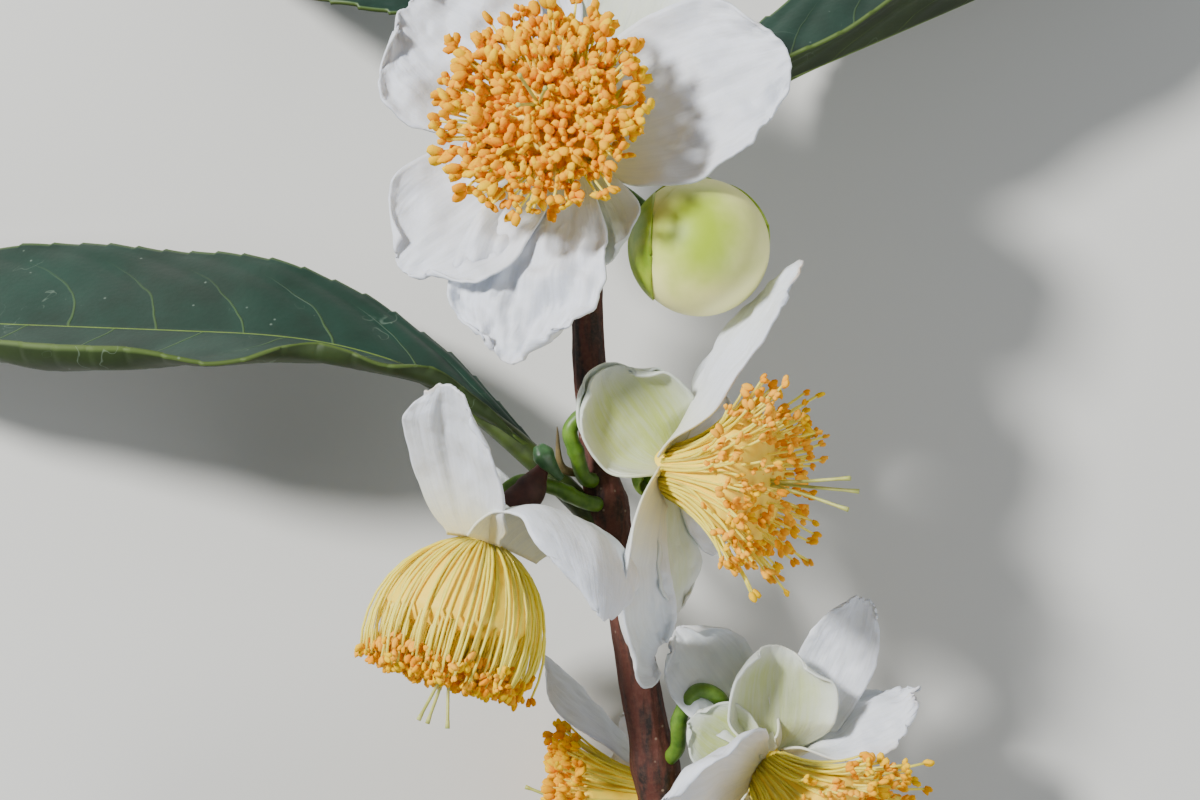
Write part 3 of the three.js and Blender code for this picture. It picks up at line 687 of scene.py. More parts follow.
def leaf_material(name, colour, pale, vein_colour, roughness, vein_strength):
    """Leathery leaf skin: waxed and quilted between its veins, with a pale toothed margin."""
    material, add = new_material(name)
    blade = add("UVMap", uv_map="Blade")
    spot = add("TexCoord").outputs["Object"]
    vein, away = leaf_veins(add, blade, spot)
    mottle = add("TexNoise", {"Vector": spot, "Scale": 1 / (8 * MM), "Detail": 5.0, "Roughness": 0.6})
    share = add("MapRange", [mottle, 0.35, 0.68])
    lit = add("Math", [vein, vein_strength], operation="MULTIPLY")
    edge = add("MapRange", [away, 0.97, 0.99, 0.0, 0.6])
    # Pale specks of dust and old rain, a third of a millimetre wide
    specks = add("TexVoronoi", {"Vector": spot, "Scale": 1 / (2.6 * MM), "Randomness": 1.0})
    dot = add("MapRange", [specks, 0.07, 0.03, 0.0, 0.25])
    # Dried drops leave thin pale outlines a few millimetres across on some places
    drops = add("TexNoise", {"Vector": spot, "Scale": 1 / (4.5 * MM), "Detail": 2.0, "Distortion": 0.6})
    level = add("Math", [drops, 0.6], operation="SUBTRACT")
    apart = add("Math", [level], operation="ABSOLUTE")
    outline = add("MapRange", [apart, 0.007, 0.002, 0.0, 0.22])
    broken = add("MapRange", [mottle, 0.52, 0.6])
    drawn = add("Math", [outline, broken], operation="MULTIPLY")
    # Cells between the finest veins are about half a millimetre wide
    cells = add("TexVoronoi", {"Vector": spot, "Scale": 1 / (0.6 * MM)})
    skin = add("Bump", {"Height": cells, "Strength": 0.25, "Distance": 0.06 * MM})
    groove = add("Bump", {"Height": vein, "Strength": 0.6, "Distance": 0.15 * MM, "Normal": skin})
    ground = layered(
        add, colour, (share, pale), (lit, vein_colour), (edge, vein_colour), (dot, linear(0xA9BBAA)),
        (drawn, linear(0x9DB09C)))
    return shaded(material, {"Base Color": ground, "Normal": groove, "Roughness": roughness, "IOR": 1.42})


def bark_material(looks):
    """Young bark: red-brown skin, grey-brown patches drawn out along the stem, pale lenticels."""
    material, add = new_material("young tea bark")
    spot = add("TexCoord").outputs["Object"]
    lengthwise = add("Mapping", {
        "Vector": spot, "Scale": (1.0, 0.16, 1.0), "Rotation": (0.0, 0.0, math.radians(7)),
    })
    streaks = add("TexNoise", {
        "Vector": lengthwise, "Scale": 1 / (1.3 * MM), "Detail": 6.0, "Roughness": 0.6,
    })
    share = add("MapRange", [streaks, 0.47, 0.62])
    grain = add("TexNoise", {"Vector": spot, "Scale": 1 / (0.5 * MM), "Detail": 5.0, "Roughness": 0.7})
    dull = add("MapRange", [grain, 0.45, 0.75, 0.0, 0.55])
    # Lenticels are pale dots about a quarter of a millimetre wide
    dots = add("TexVoronoi", {"Vector": spot, "Scale": 1 / (1.5 * MM)})
    dot = add("MapRange", [dots, 0.12, 0.07, 0.0, 0.6])
    colour = layered(
        add, looks.bark_colour, (share, linear(0x241C18)), (dull, linear(0x6A4536)),
        (dot, linear(0x9A8470)))
    ridge = add("Bump", {"Height": streaks, "Strength": 0.7, "Distance": 0.25 * MM})
    bump = add("Bump", {"Height": grain, "Strength": 0.6, "Distance": 0.12 * MM, "Normal": ridge})
    return shaded(material, {"Base Color": colour, "Normal": bump, "Roughness": 0.7, "IOR": 1.45})


def cut_wood_material():
    """Fresh cut wood: pale, dry and fibrous."""
    material, add = new_material("fresh cut wood")
    spot = add("TexCoord").outputs["Object"]
    fibres = add("TexNoise", {"Vector": spot, "Scale": 1 / (0.3 * MM), "Detail": 3.0})
    colour = layered(add, linear(0xB7AE7C), (fibres, linear(0xD9D2A8)))
    return shaded(material, {"Base Color": colour, "Roughness": 0.8})


def bud_material():
    """Closed petals: cream and smooth, with green flushes where the outer petals end."""
    material, add = new_material("closed petal skin")
    spot = add("TexCoord").outputs["Object"]
    middle = metres(np.array(BUD["centre"]) + np.array([-0.4, 0.9, BUD_RADIUS * 0.95]))
    moved = add("Mapping", {"Vector": spot, "Location": tuple(-middle)})
    near = add("VectorMath", [moved], operation="LENGTH")
    noise = add("TexNoise", {"Vector": spot, "Scale": 1 / (4.5 * MM), "Detail": 3.0})
    blurred = add("Math", [noise, 5.0 * MM, near], operation="MULTIPLY_ADD")
    flush = add("MapRange", [blurred, 10.5 * MM, 3.4 * MM], **SOFT)
    bump = add("Bump", {"Height": noise, "Strength": 0.3, "Distance": 0.2 * MM})
    return shaded(material, {
        "Base Color": layered(add, linear(0xFFFBA8), (flush, linear(0xAAC41C))), "Normal": bump,
        "Roughness": 0.45, "Subsurface Weight": 0.25, "Subsurface Radius": (1.0, 0.95, 0.5),
        "Subsurface Scale": 1.0 * MM,
    })


def petal_width(share, claw, disc):
    """Half width of a petal along its length: claw at its foot, widest at two thirds, round tip."""
    swelling = claw + (1 - claw) * np.sin(np.pi / 2 * np.minimum(share / PETAL_WIDEST, 1)) ** 1.25
    beyond = np.clip((share - PETAL_WIDEST) / (1 - PETAL_WIDEST), 0, 1)
    blade = np.where(share < PETAL_WIDEST, swelling, np.sqrt(np.maximum(0, 1 - beyond**2.2)))
    oval = np.sqrt(np.maximum(claw**2, 1 - np.abs((share - 0.5) / 0.52) ** 2.4))
    return mix(blade, oval, disc)


def bent_section(reach, bend, steps):
    """Share of the way across and upward at a reach along a section that bends, and its angle there."""
    angles = bend(reach[:, None] * (np.arange(steps) + 0.5) / steps)
    across = reach * np.cos(angles).mean(axis=1)
    return across, reach * np.sin(angles).mean(axis=1), bend(reach[:, None])[:, 0]


def petal_relief(petal, across, share, half, seed):
    """How far a petal's crinkles and side fold stand off its blade."""
    over = across * half
    up = share * petal["length"]
    buckle = 0.75 * wave_noise(up / 6 + 4, over / 4.2 + 4, seed + 3)
    buckle += 0.36 * wave_noise(up / 2.8 + 8, over / 2.2 + 8, seed + 4)
    buckle += 0.32 * np.abs(wave_noise(up / 2.8 + 8, over / 1.3 + 8, seed + 5))
    buckle += 0.07 * wave_noise(up / 0.9 + 8, over / 0.7 + 8, seed + 6)
    fold = smooth((across - 0.3) / 0.12) * smooth(share * 2) * (1 - smooth((share - 0.7) / 0.3))
    return petal["crinkle"] * buckle * smooth(share * 2.5) * (0.6 + 0.6 * share) + petal["crease"] * fold


def petal_tip(petal, across, share, seed):
    """How far a petal's rounded and ragged tip is drawn along its length."""
    level = share * 0
    ragged = 0.03 * wave_noise(across * 1.8 + 9, level + 2.5, seed + 1)
    ragged += 0.016 * wave_noise(across * 6 + 9, level + 5.5, seed + 2)
    ragged += 0.007 * wave_noise(across * 15 + 20, level + 5.5, seed + 2)
    rounded = -0.1 * petal["length"] * across**2 * smooth((share - 0.6) / 0.4)
    return rounded + petal["length"] * petal["ragged"] * smooth((share - 0.5) / 0.5) * ragged


def petal_places(matrix, petal, across, along, seed):
    """Points of one petal or sepal, by the rule of its solid, with its rim, crinkles and ragged tip."""
    share = PETAL_REACH * (1 - (1 - along) ** 1.25)

    def opened(s):
        return np.radians(petal["open"] + petal["curl"] * s + petal["tip"] * smooth((s - 0.7) / 0.3))

    def turned(s):
        return np.radians(petal["turn"] + petal["lean"] * s)

    def outward(s):
        return round_axis(np.sin(opened(s)), np.cos(opened(s)), turned(s))

    root = round_axis(petal["root_radius"], petal["root_height"], math.radians(petal["turn"]))
    middle = swept(root, petal["length"], outward, PETAL_STEPS, share)
    sideways = np.stack([-np.sin(turned(share)), np.cos(turned(share)), np.zeros_like(share)], axis=1)
    face = round_axis(-np.cos(opened(share)), np.sin(opened(share)), turned(share))
    twist = np.radians(petal["twist"] * share + petal["face"] * smooth(share * 3))[:, None]
    side = sideways * np.cos(twist) + face * np.sin(twist)
    inward = face * np.cos(twist) - sideways * np.sin(twist)
    half = petal["width"] / 2 * petal_width(share, petal["claw"], petal["disc"])
    half *= 1 + 0.04 * petal["ragged"] * wave_noise(share * 9, np.sign(across) * 3.3, seed)
    # The section bends evenly by its cup and more toward the sides by its rim
    even = (np.radians(petal["cup"]) * (0.35 + 0.65 * share))[:, None]
    more = (np.radians(petal["rim"]) * smooth(share * 3))[:, None]
    out, lift, angle = bent_section(across, lambda inner: even * inner + more * inner**3, PETAL_SECTION)
    normal = inward * np.cos(angle)[:, None] - side * np.sin(angle)[:, None]
    relief = petal_relief(petal, across, share, half, seed)[:, None]
    drawn = petal_tip(petal, across, share, seed)[:, None]
    bent = side * (half * out)[:, None] + inward * (half * lift)[:, None]
    return placed(matrix, middle + bent + normal * relief + outward(share) * drawn)


def leaf_width(share, widest):
    """Half width of a leaf blade along its length. A larger widest puts that place nearer the tip."""
    inside = np.clip(share, 0, 1)
    return np.sin(np.pi * inside**widest) ** 0.85 * (1 - 0.15 * inside)


def eased(pairs, share):
    """Angle in radians along a leaf, softly joined from pairs of share and degrees."""
    steps = np.linspace(-0.2, 1.2, 281)
    window = np.hanning(15) / np.hanning(15).sum()
    table = np.convolve(np.interp(steps, *zip(*pairs)), window, "same")
    return np.radians(np.interp(share, steps, table))


def leaf_frame(leaf, share):
    """Midrib place, side and upper direction at shares of a leaf's length."""
    def heading(s):
        eased_share = smooth(s / leaf["settle"]) if leaf["settle"] < 1 else s
        return np.radians(leaf["heading"] + leaf["swing"] * eased_share)

    def rise(s):
        return np.radians(leaf["rise"] + leaf["droop"] * s)

    def direction(s):
        return round_axis(np.cos(rise(s)), np.sin(rise(s)), heading(s))

    middle = swept(leaf["root"], leaf["length"], direction, LEAF_STEPS, share)
    up = round_axis(-np.sin(rise(share)), np.cos(rise(share)), heading(share))
    side = np.cross(up, direction(share))
    roll = np.radians(leaf["roll"] + leaf["twist"] * share)[:, None]
    return middle, side * np.cos(roll) + up * np.sin(roll), up * np.cos(roll) - side * np.sin(roll)


def leaf_places(leaf, across, along, seed):
    """Points of a leaf blade by the rule of its solid, with teeth, side veins and a rolled rim."""
    blade = np.maximum(along, 0.0)
    share = leaf["petiole"] + (1 - leaf["petiole"]) * np.minimum(blade, 0.998)
    middle, side, up = leaf_frame(leaf, share)
    away = np.abs(across)
    near = across > 0
    tooth = np.mod(blade * leaf["teeth"], 1.0)
    notch = TOOTH_DEPTH * (1 - tooth) ** 0.7 * smooth(blade * 12) * smooth((1 - blade) * 12)
    full = leaf["width"] / 2 * np.maximum(0.03, leaf_width(blade, leaf["widest"]))
    half = full - notch * smooth((away - 0.8) / 0.2)
    # The nearer half folds and rolls along its length, and the far half folds evenly
    start = np.where(near, eased(leaf["spread"], share), np.radians(leaf["fold"])) * smooth(blade * 6)
    curl = np.where(near, eased(leaf["rolled"], share), 0.0) * smooth(blade * 12)
    out, lift, angle = bent_section(
        away, lambda inner: start[:, None] + curl[:, None] * inner**4, LEAF_SECTION)
    # The blade is quilted between its side veins and waves toward its margin
    phase = VEIN_PAIRS * blade + VEIN_SHIFT - away * (VEIN_LEAN + VEIN_BEND * away**2)
    between = 0.5 - 0.5 * np.cos(2 * np.pi * (phase + VEIN_STAGGER * (across < 0)))
    quilt = QUILT_DEPTH * between**0.6 * np.sin(np.pi * np.clip(away, 0, 1)) * smooth(full / 5)
    waves = np.sin(2 * np.pi * (3 * share + 0.15 * near)) * away**1.5 * np.sin(np.pi * blade)
    quilt += leaf["wave"] * waves
    quilt += 0.4 * wave_noise(share * 13, across * 1.7, seed) * away**2 * smooth(full / 6)
    signed = np.sign(across)
    normal = up * np.cos(angle)[:, None] - side * (signed * np.sin(angle))[:, None]
    bent = side * (signed * half * out)[:, None] + up * (half * lift)[:, None]
    return middle + bent + normal * quilt[:, None]


def thread_lean(stamens, rho):
    """Angles from the axis at which threads leave their ring and arrive at their tips."""
    kind = stamens["bulge"]
    return [np.radians(stamens["spread"]) * rho * share[kind] for share in (LEAVING, ARRIVING)]


def stamen_lines(stamens, seed):
    """Centre lines of a bloom's threads in its own frame, spread from its axis to the outside."""
    rng = np.random.default_rng(seed)
    count = stamens["count"]
    order = np.arange(count)
    rho = np.sqrt((order + 0.5) / count)
    angle = order * GOLDEN_TURN + rng.normal(0, 0.08, count)
    start, end = thread_lean(stamens, rho)
    end = end + rng.normal(0, 0.1, count)
    length = stamens["length"] * (0.8 + 0.2 * rho) * rng.uniform(stamens["short"], 1.04, count)
    middles = (np.arange(STAMEN_STEPS) + 0.5) / STAMEN_STEPS
    lean = start[:, None] + (end - start)[:, None] * middles
    stride = (length / STAMEN_STEPS)[:, None]
    foot = STAMEN_BASE_RADIUS * rho[:, None]
    radius = np.hstack([foot, foot + np.cumsum(np.sin(lean) * stride, axis=1)])
    height = STAMEN_BASE_HEIGHT + np.cumsum(np.cos(lean) * stride, axis=1)
    height = np.hstack([np.full((count, 1), STAMEN_BASE_HEIGHT), height])
    sweep = rng.normal(0, 0.05, count)[:, None] * (np.arange(STAMEN_STEPS + 1) / STAMEN_STEPS) ** 2
    return round_axis(radius, height, angle[:, None] + sweep)


def sheath_profile(stamens):
    """Radius and height along the funnel that the joined feet make, from a collar to a low dome."""
    start, end = thread_lean(stamens, SHEATH_RING)
    reach = SHEATH_REACH * (0.95 if stamens["bulge"] else 1.0)
    middles = (np.arange(SHEATH_STEPS) + 0.5) / SHEATH_STEPS
    lean = start + (end - start) * middles * reach
    stride = stamens["length"] * reach / SHEATH_STEPS
    radius = STAMEN_BASE_RADIUS * 0.92 + np.concatenate([[0], np.cumsum(np.sin(lean) * stride)])
    height = np.concatenate([[0], np.cumsum(np.cos(lean) * stride)])
    dome = np.radians((30, 60, 90))
    low = height[-1] + 0.35 * radius[-1] * np.sin(dome)
    radius = np.concatenate([[radius[0] - 0.1, radius[0]], radius, radius[-1] * np.cos(dome)])
    return list(zip(radius, np.concatenate([[-0.9, -0.5], height, low])))


def copies(faces, count, step):
    """Faces of joined copies, each of which has step corners."""
    return [tuple(corner + index * step for corner in face) for index in range(count) for face in faces]


def joined_tubes(lines, radius, taper):
    """Points, faces and shares of many thin closed tubes, one along each line."""
    count, stations = lines.shape[:2]
    along = unit(np.gradient(lines, axis=1))
    side = unit(np.cross(along, np.array([0.31, 0.52, 0.79])))
    up = np.cross(along, side)
    angle = ring(THREAD_SIDES)[:, None]
    thick = radius * (1 - taper * np.linspace(0, 1, stations))[None, :, None, None]
    circle = side[:, :, None, :] * np.cos(angle) + up[:, :, None, :] * np.sin(angle)
    points = (lines[:, :, None, :] + thick * circle).reshape(-1, 3)
    shares = np.zeros((count, stations, THREAD_SIDES, 2))
    shares[..., 0] = np.arange(THREAD_SIDES) / THREAD_SIDES
    shares[..., 1] = np.linspace(0, 1, stations)[:, None]
    first = list(range(THREAD_SIDES))
    after = first[1:] + first[:1]
    faces = [
        (row + a, row + b, row + THREAD_SIDES + b, row + THREAD_SIDES + a)
        for row in range(0, (stations - 1) * THREAD_SIDES, THREAD_SIDES)
        for a, b in zip(first, after)
    ]
    faces += [tuple(first)[::-1], tuple((stations - 1) * THREAD_SIDES + a for a in first)]
    return points, copies(faces, count, stations * THREAD_SIDES), shares.reshape(-1, 2)


def anther_shape(seed):
    """Points and faces of one anther: two uneven lobes side by side, standing on their thread."""
    rng = np.random.default_rng(seed)
    bm = bmesh.new()
    for turn in (-1, 1):
        made = bmesh.ops.create_uvsphere(bm, u_segments=7, v_segments=5, radius=1.0)["verts"]
        for vert in made:
            vert.co *= rng.uniform(0.78, 1.18)
        bmesh.ops.scale(bm, vec=Vector(ANTHER_LOBE), verts=made)
        bmesh.ops.rotate(bm, matrix=Matrix.Rotation(math.radians(14 * turn), 3, "Y"), verts=made)
        bmesh.ops.translate(bm, vec=Vector((0.23 * turn, 0, 0.2)), verts=made)
    points = np.array([vert.co[:] for vert in bm.verts])
    faces = [tuple(vert.index for vert in face.verts) for face in bm.faces]
    bm.free()
    return points, faces


def joined_anthers(tips, directions, usual, seed):
    """Points and faces of an anther on each tip, each turned and sized a little differently."""
    rng = np.random.default_rng(seed)
    shapes = [anther_shape(number) for number in range(ANTHER_SHAPES)]
    shape_faces = shapes[0][1]
    count = len(tips)
    shape = np.stack([points for points, faces in shapes])[np.arange(count) % ANTHER_SHAPES]
    stand = unit(directions + rng.normal(0, 0.45, (count, 3)))
    side = unit(np.cross(stand, rng.normal(0, 1, (count, 3))))
    size = usual * rng.uniform(0.65, 1.2, count)[:, None, None]
    frames = np.stack([side, np.cross(stand, side), stand], axis=1)
    points = tips[:, None, :] + size * np.einsum("npk,nkj->npj", shape, frames)
    return points.reshape(-1, 3), copies(shape_faces, count, shape.shape[1]), len(shape_faces)


def mesh_from(name, points, faces):
    """Mesh of joined copies from arrays."""
    mesh = bpy.data.meshes.new(name)
    mesh.from_pydata(metres(points), [], faces)
    mesh.validate()
    return mesh


def bud_sheet(turn, spread, top, off, low):
    """Shape of one closed petal of the bud: a patch of the ball between two angles from its foot."""
    matrix = bloom_matrix(BUD)

    def shape(across, along):
        polar = np.radians(mix(low, top, along))
        beyond = np.clip((along - 0.3) / 0.7, 0, 1)
        width = np.radians(spread) * np.sqrt(np.maximum(0.0, 1 - beyond**2.4))
        around = math.radians(turn) + across * np.maximum(width, 0.02)
        r = BUD_RADIUS + off + 0.12 * (1 - np.abs(across) ** 2)
        return placed(matrix, round_axis(r * np.sin(polar), -r * np.cos(polar) * BUD_STRETCH, around))

    return shape


COLOUR = {"subtype": "COLOR", "size": 3, "min": 0, "max": 1}


class SprigLooks(bpy.types.PropertyGroup):
    """Sizes and colours of the sprig that a user would change."""

    petal_thickness: FloatProperty(
        name="Petal thickness", description="Thickness of an open petal in millimetres",
        default=0.24, min=0.1, max=0.6,
    )
    leaf_thickness: FloatProperty(
        name="Leaf thickness", description="Thickness of a leaf blade in millimetres",
        default=0.4, min=0.2, max=1.0,
    )
    thread_share: FloatProperty(
        name="Thread thickness", description="Share of the usual thickness of a stamen's thread",
        default=1.0, min=0.5, max=1.5, subtype="FACTOR",
    )
    style_count: IntProperty(
        name="Styles", description="Styles in the middle of each bloom", default=3, min=1, max=5,
    )
    petal_colour: FloatVectorProperty(
        name="Petal", description="Colour of an open petal", default=linear(0xDEE2EA), **COLOUR,
    )
    # Besides the outer petals' real green, this colour is darkened to serve as painted shade in the
    # hollows of cupped petals.
    flush_and_shade_colour: FloatVectorProperty(
        name="Green flush", description="Colour that outer petals turn to",
        default=linear(0xB0BD58), **COLOUR,
    )
    bark_colour: FloatVectorProperty(
        name="Bark", description="Colour of the stem's bark", default=linear(0x552B20), **COLOUR,
    )
    leaf_colour: FloatVectorProperty(
        name="Leaf", description="Colour of a leaf's upper side", default=linear(0x10291D), **COLOUR,
    )


class SPRIG_OT_stem(bpy.types.Operator):
    """Stem with its bark's relief and a cut face"""

    bl_idname = "tea_sprig.stem"
    bl_label = "Stem"

    def execute(self, context):
        share = np.linspace(0, 1, STEM_ROWS + 1)
        centres = curve_through(STEM_LINE[:, :3], share)
        radius = np.interp(share * (len(STEM_LINE) - 1), range(len(STEM_LINE)), STEM_LINE[:, 3])
        for y, swell, length in STEM_NODES:
            radius = radius + swell * np.exp(-(((centres[:, 1] - y) / length) ** 2))
        run = share[:, None] * STEM_LENGTH
        round_x = 1.6 * np.cos(ring(STEM_SIDES))[None, :]
        round_y = 1.6 * np.sin(ring(STEM_SIDES))[None, :]
        # Long swellings, shorter patches and fine wrinkles, from 9 mm to under 1 mm along the stem
        relief = wave_noise(round_x * 2.2 + 9, run / 9, 11) + wave_noise(round_y * 2.2 + 9, run / 9, 12)
        relief = 0.09 * relief
        relief = relief + 0.05 * wave_noise(round_x * 4 + round_y * 2 + 20, run / 2.2, 13)
        relief = relief + 0.035 * wave_noise(round_y * 6 + 20, run / 0.9, 14)
        bm = bmesh.new()
        add_tube(bm, centres, radius[:, None] + relief)
        ends = [face for face in bm.faces if len(face.verts) > 4]
        bmesh.ops.inset_region(bm, faces=ends, thickness=0.35 * MM, depth=0.0)
        for face in ends:
            face.material_index = 1
        skins = [bark_material(context.scene.tea_sprig), cut_wood_material()]
        finish_piece("stem_bark", bm, skins, "stem")
        return {"FINISHED"}


class SPRIG_OT_leaves(bpy.types.Operator):
    """Leaves with toothed blades, side veins and midribs"""

    bl_idname = "tea_sprig.leaves"
    bl_label = "Leaves"

    def execute(self, context):
        looks = context.scene.tea_sprig
        skins = [
            leaf_material(
                "waxed upper leaf skin", looks.leaf_colour, linear(0x16382B), linear(0x5E7C38),
                roughness=0.5, vein_strength=0.35),
            # The lower skin is much darker than a tea leaf's pale underside: painted shade on the rolled
            # rims and folded halves where the underside shows.
            leaf_material(
                "matte lower leaf skin in painted shade", linear(0x1D2A0C), linear(0x2C3D14), linear(0x5C7230),
                roughness=0.65, vein_strength=0.4),
        ]
        ribs = {
            "petiole": (green_material("leaf stalk skin", 0x26330C, 0x3E4F18, 0.5), 0, 0.27),
            "midrib": (green_material("leaf midrib skin", 0x5A7222, 0x6E8634, 0.5), 0.26, 0.97),
        }
        for seed, (name, leaf_sizes) in enumerate(LEAVES.items()):
            bm = bmesh.new()
            shares = add_sheet(
                bm, LEAF_COLUMNS, leaf_sizes["rows"],
                lambda across, along: leaf_places(leaf_sizes, across, along, LEAF_SEED + seed))
            blade = finish_piece(f"{name}_blade", bm, skins, name)
            add_blade_map(blade.data, shares)
            thicken(blade, looks.leaf_thickness, 1)
            for part, (skin, first, last) in ribs.items():
                share = np.linspace(first, last, 81)
                middle, side, up = leaf_frame(leaf_sizes, share)
                beyond = np.clip((share - leaf_sizes["petiole"]) / (1 - leaf_sizes["petiole"]), 0, 1)
                thin = mix(1.0, 0.27, smooth(beyond / 0.26)) - 0.13 * beyond
                radius = PETIOLE_RADIUS * leaf_sizes["width"] / FULL_WIDTH * thin
                bm = bmesh.new()
                add_tube(bm, middle - up * (radius * 0.86)[:, None], radius, 14)
                finish_piece(f"{name}_{part}", bm, [skin], name)
        return {"FINISHED"}


class SPRIG_OT_petals(bpy.types.Operator):
    """Petals of the open blooms"""

    bl_idname = "tea_sprig.petals"
    bl_label = "Petals"

    def execute(self, context):
        looks = context.scene.tea_sprig
        tissue = petal_material(looks)
        for number, (name, bloom) in enumerate(BLOOMS.items()):
            bm = bmesh.new()
            matrix = bloom_matrix(bloom)
            shares = []
            for index, sizes in enumerate(bloom["petals"]):
                seed = PETAL_SEED + BLOOM_SEEDS * number + PETAL_SEEDS * index
                shares.append(add_sheet(bm, PETAL_COLUMNS, PETAL_ROWS, lambda across, along: petal_places(
                    matrix, sizes, across, along, seed)))
            piece = finish_piece(f"bloom_{name}_corolla", bm, [tissue], f"bloom_{name}_petals")
            add_blade_map(piece.data, np.vstack(shares))
            # Tint is each petal's green flush, which on cupped petals also carries painted shade for
            # their hollows; Wilt is the brown of its rim.
            for mark in ("Tint", "Wilt"):
                each = np.array([sizes[mark.lower()] for sizes in bloom["petals"]], np.float32)
                layer = piece.data.attributes.new(mark, "FLOAT", "POINT")
                layer.data.foreach_set("value", np.repeat(each, len(shares[0])))
            thicken(piece, looks.petal_thickness)
        return {"FINISHED"}


class SPRIG_OT_stamens(bpy.types.Operator):
    """Threads, anthers and styles of the open blooms"""

    bl_idname = "tea_sprig.stamens"
    bl_label = "Stamens"

    def execute(self, context):
        looks = context.scene.tea_sprig
        thread = thread_material()
        sheath = green_material("joined thread feet", 0xFFD62E, 0xFFE14C, 0.6)
        golds = [
            anther_material("ripe anther golden", (0.92, 0.47, 0.0)),
            anther_material("ripe anther pale", (0.96, 0.61, 0.0)),
            anther_material("ripe anther amber", (0.9, 0.38, 0.0)),
            anther_material("ripe anther peach", (1.0, 0.5, 0.03)),
        ]
        style_skin = green_material("style tissue", 0xA9AE50, 0xC8CB74, 0.5)
        for number, (name, bloom) in enumerate(BLOOMS.items()):
            stamens = bloom["stamens"]
            matrix = bloom_matrix(bloom, stamens["swing"])
            node = f"bloom_{name}_stamens"
            lines = placed(matrix, stamen_lines(stamens, THREAD_SEED + number))
            points, faces, shares = joined_tubes(lines, THREAD_RADIUS * looks.thread_share, 0.25)
            mesh = mesh_from(f"bloom_{name}_threads", points, faces)
            add_blade_map(mesh, shares)
            finish_piece(f"bloom_{name}_threads", mesh, [thread], node)
            bm = bmesh.new()
            add_spun(bm, sheath_profile(stamens), matrix, 48)
            finish_piece(f"bloom_{name}_sheath", bm, [sheath], node)
            tips = lines[:, -1]
            directions = unit(tips - lines[:, -2])
            points, faces, each = joined_anthers(
                tips, directions, stamens["anther"], ANTHER_SEED + number)
            mesh = mesh_from(f"bloom_{name}_anthers", points, faces)
            rng = np.random.default_rng(HUE_SEED + number)
            kinds = rng.choice(len(golds), len(tips), p=stamens["hues"])
            mesh.polygons.foreach_set("material_index", np.repeat(kinds, each).astype(np.int32))
            finish_piece(f"bloom_{name}_anthers", mesh, golds, node)
            bm = bmesh.new()
            share = np.linspace(0, 1, 25)
            for angle in ring(looks.style_count):
                apart = round_axis(1.0, 0.0, angle)
                places = [
                    (0, 0, 0.5), 0.3 * apart + (0, 0, stamens["length"] * 0.8),
                    1.7 * apart + (0, 0, stamens["styles"]),
                ]
                swell = STYLE_RADIUS * (1 + 0.5 * smooth((share - 0.93) / 0.05))
                add_tube(bm, placed(matrix, curve_through(places, share)), swell, 10)
            finish_piece(f"bloom_{name}_styles", bm, [style_skin], node)
        return {"FINISHED"}


class SPRIG_OT_stalks(bpy.types.Operator):
    """Flower stalks with their receptacles and sepals"""

    bl_idname = "tea_sprig.stalks"
    bl_label = "Stalks and sepals"

    def execute(self, context):
        skin = green_material("flower stalk skin", 0x3C600E, 0x6A8E2A, 0.45)
        sepal_skin = green_material("sepal skin", 0x6C8F2A, 0x9FB255, 0.5)
        share = np.linspace(0, 1, 81)
        across = np.cos(ring(18))[None, :] * 2 + 9
        for number, (name, bloom) in enumerate(BLOOMS.items()):
            matrix = bloom_matrix(bloom)
            node = f"bloom_{name}_calyx"
            ends = placed(matrix, [(0, 0, STALK_DEPTH - 0.6), (0, 0, STALK_DEPTH * 0.6)])
            radius = STALK_RADIUS * (1 + 0.3 * smooth((share - 0.55) / 0.45))
            radius = radius + 0.12 * np.exp(-(((share - 0.3) / 0.02) ** 2))
            uneven = wave_noise(across, share[:, None] * 14, STALK_SEED + number)
            bm = bmesh.new()
            add_tube(bm, curve_through([*bloom["stalk"], *ends], share), radius[:, None] + 0.03 * uneven)
            add_spun(bm, RECEPTACLE, matrix, 28)
            finish_piece(f"bloom_{name}_stalk", bm, [skin], node)
            bm = bmesh.new()
            for index, turn in enumerate(bloom["sepals"]):
                seed = SEPAL_SEED + SEPAL_SEEDS * number + index
                add_sheet(bm, 16, 18, lambda across, along: petal_places(
                    matrix, {**SEPAL, "turn": turn}, across, along, seed))
            piece = finish_piece(f"bloom_{name}_sepals", bm, [sepal_skin], node)
            thicken(piece, SEPAL_THICKNESS)
        return {"FINISHED"}


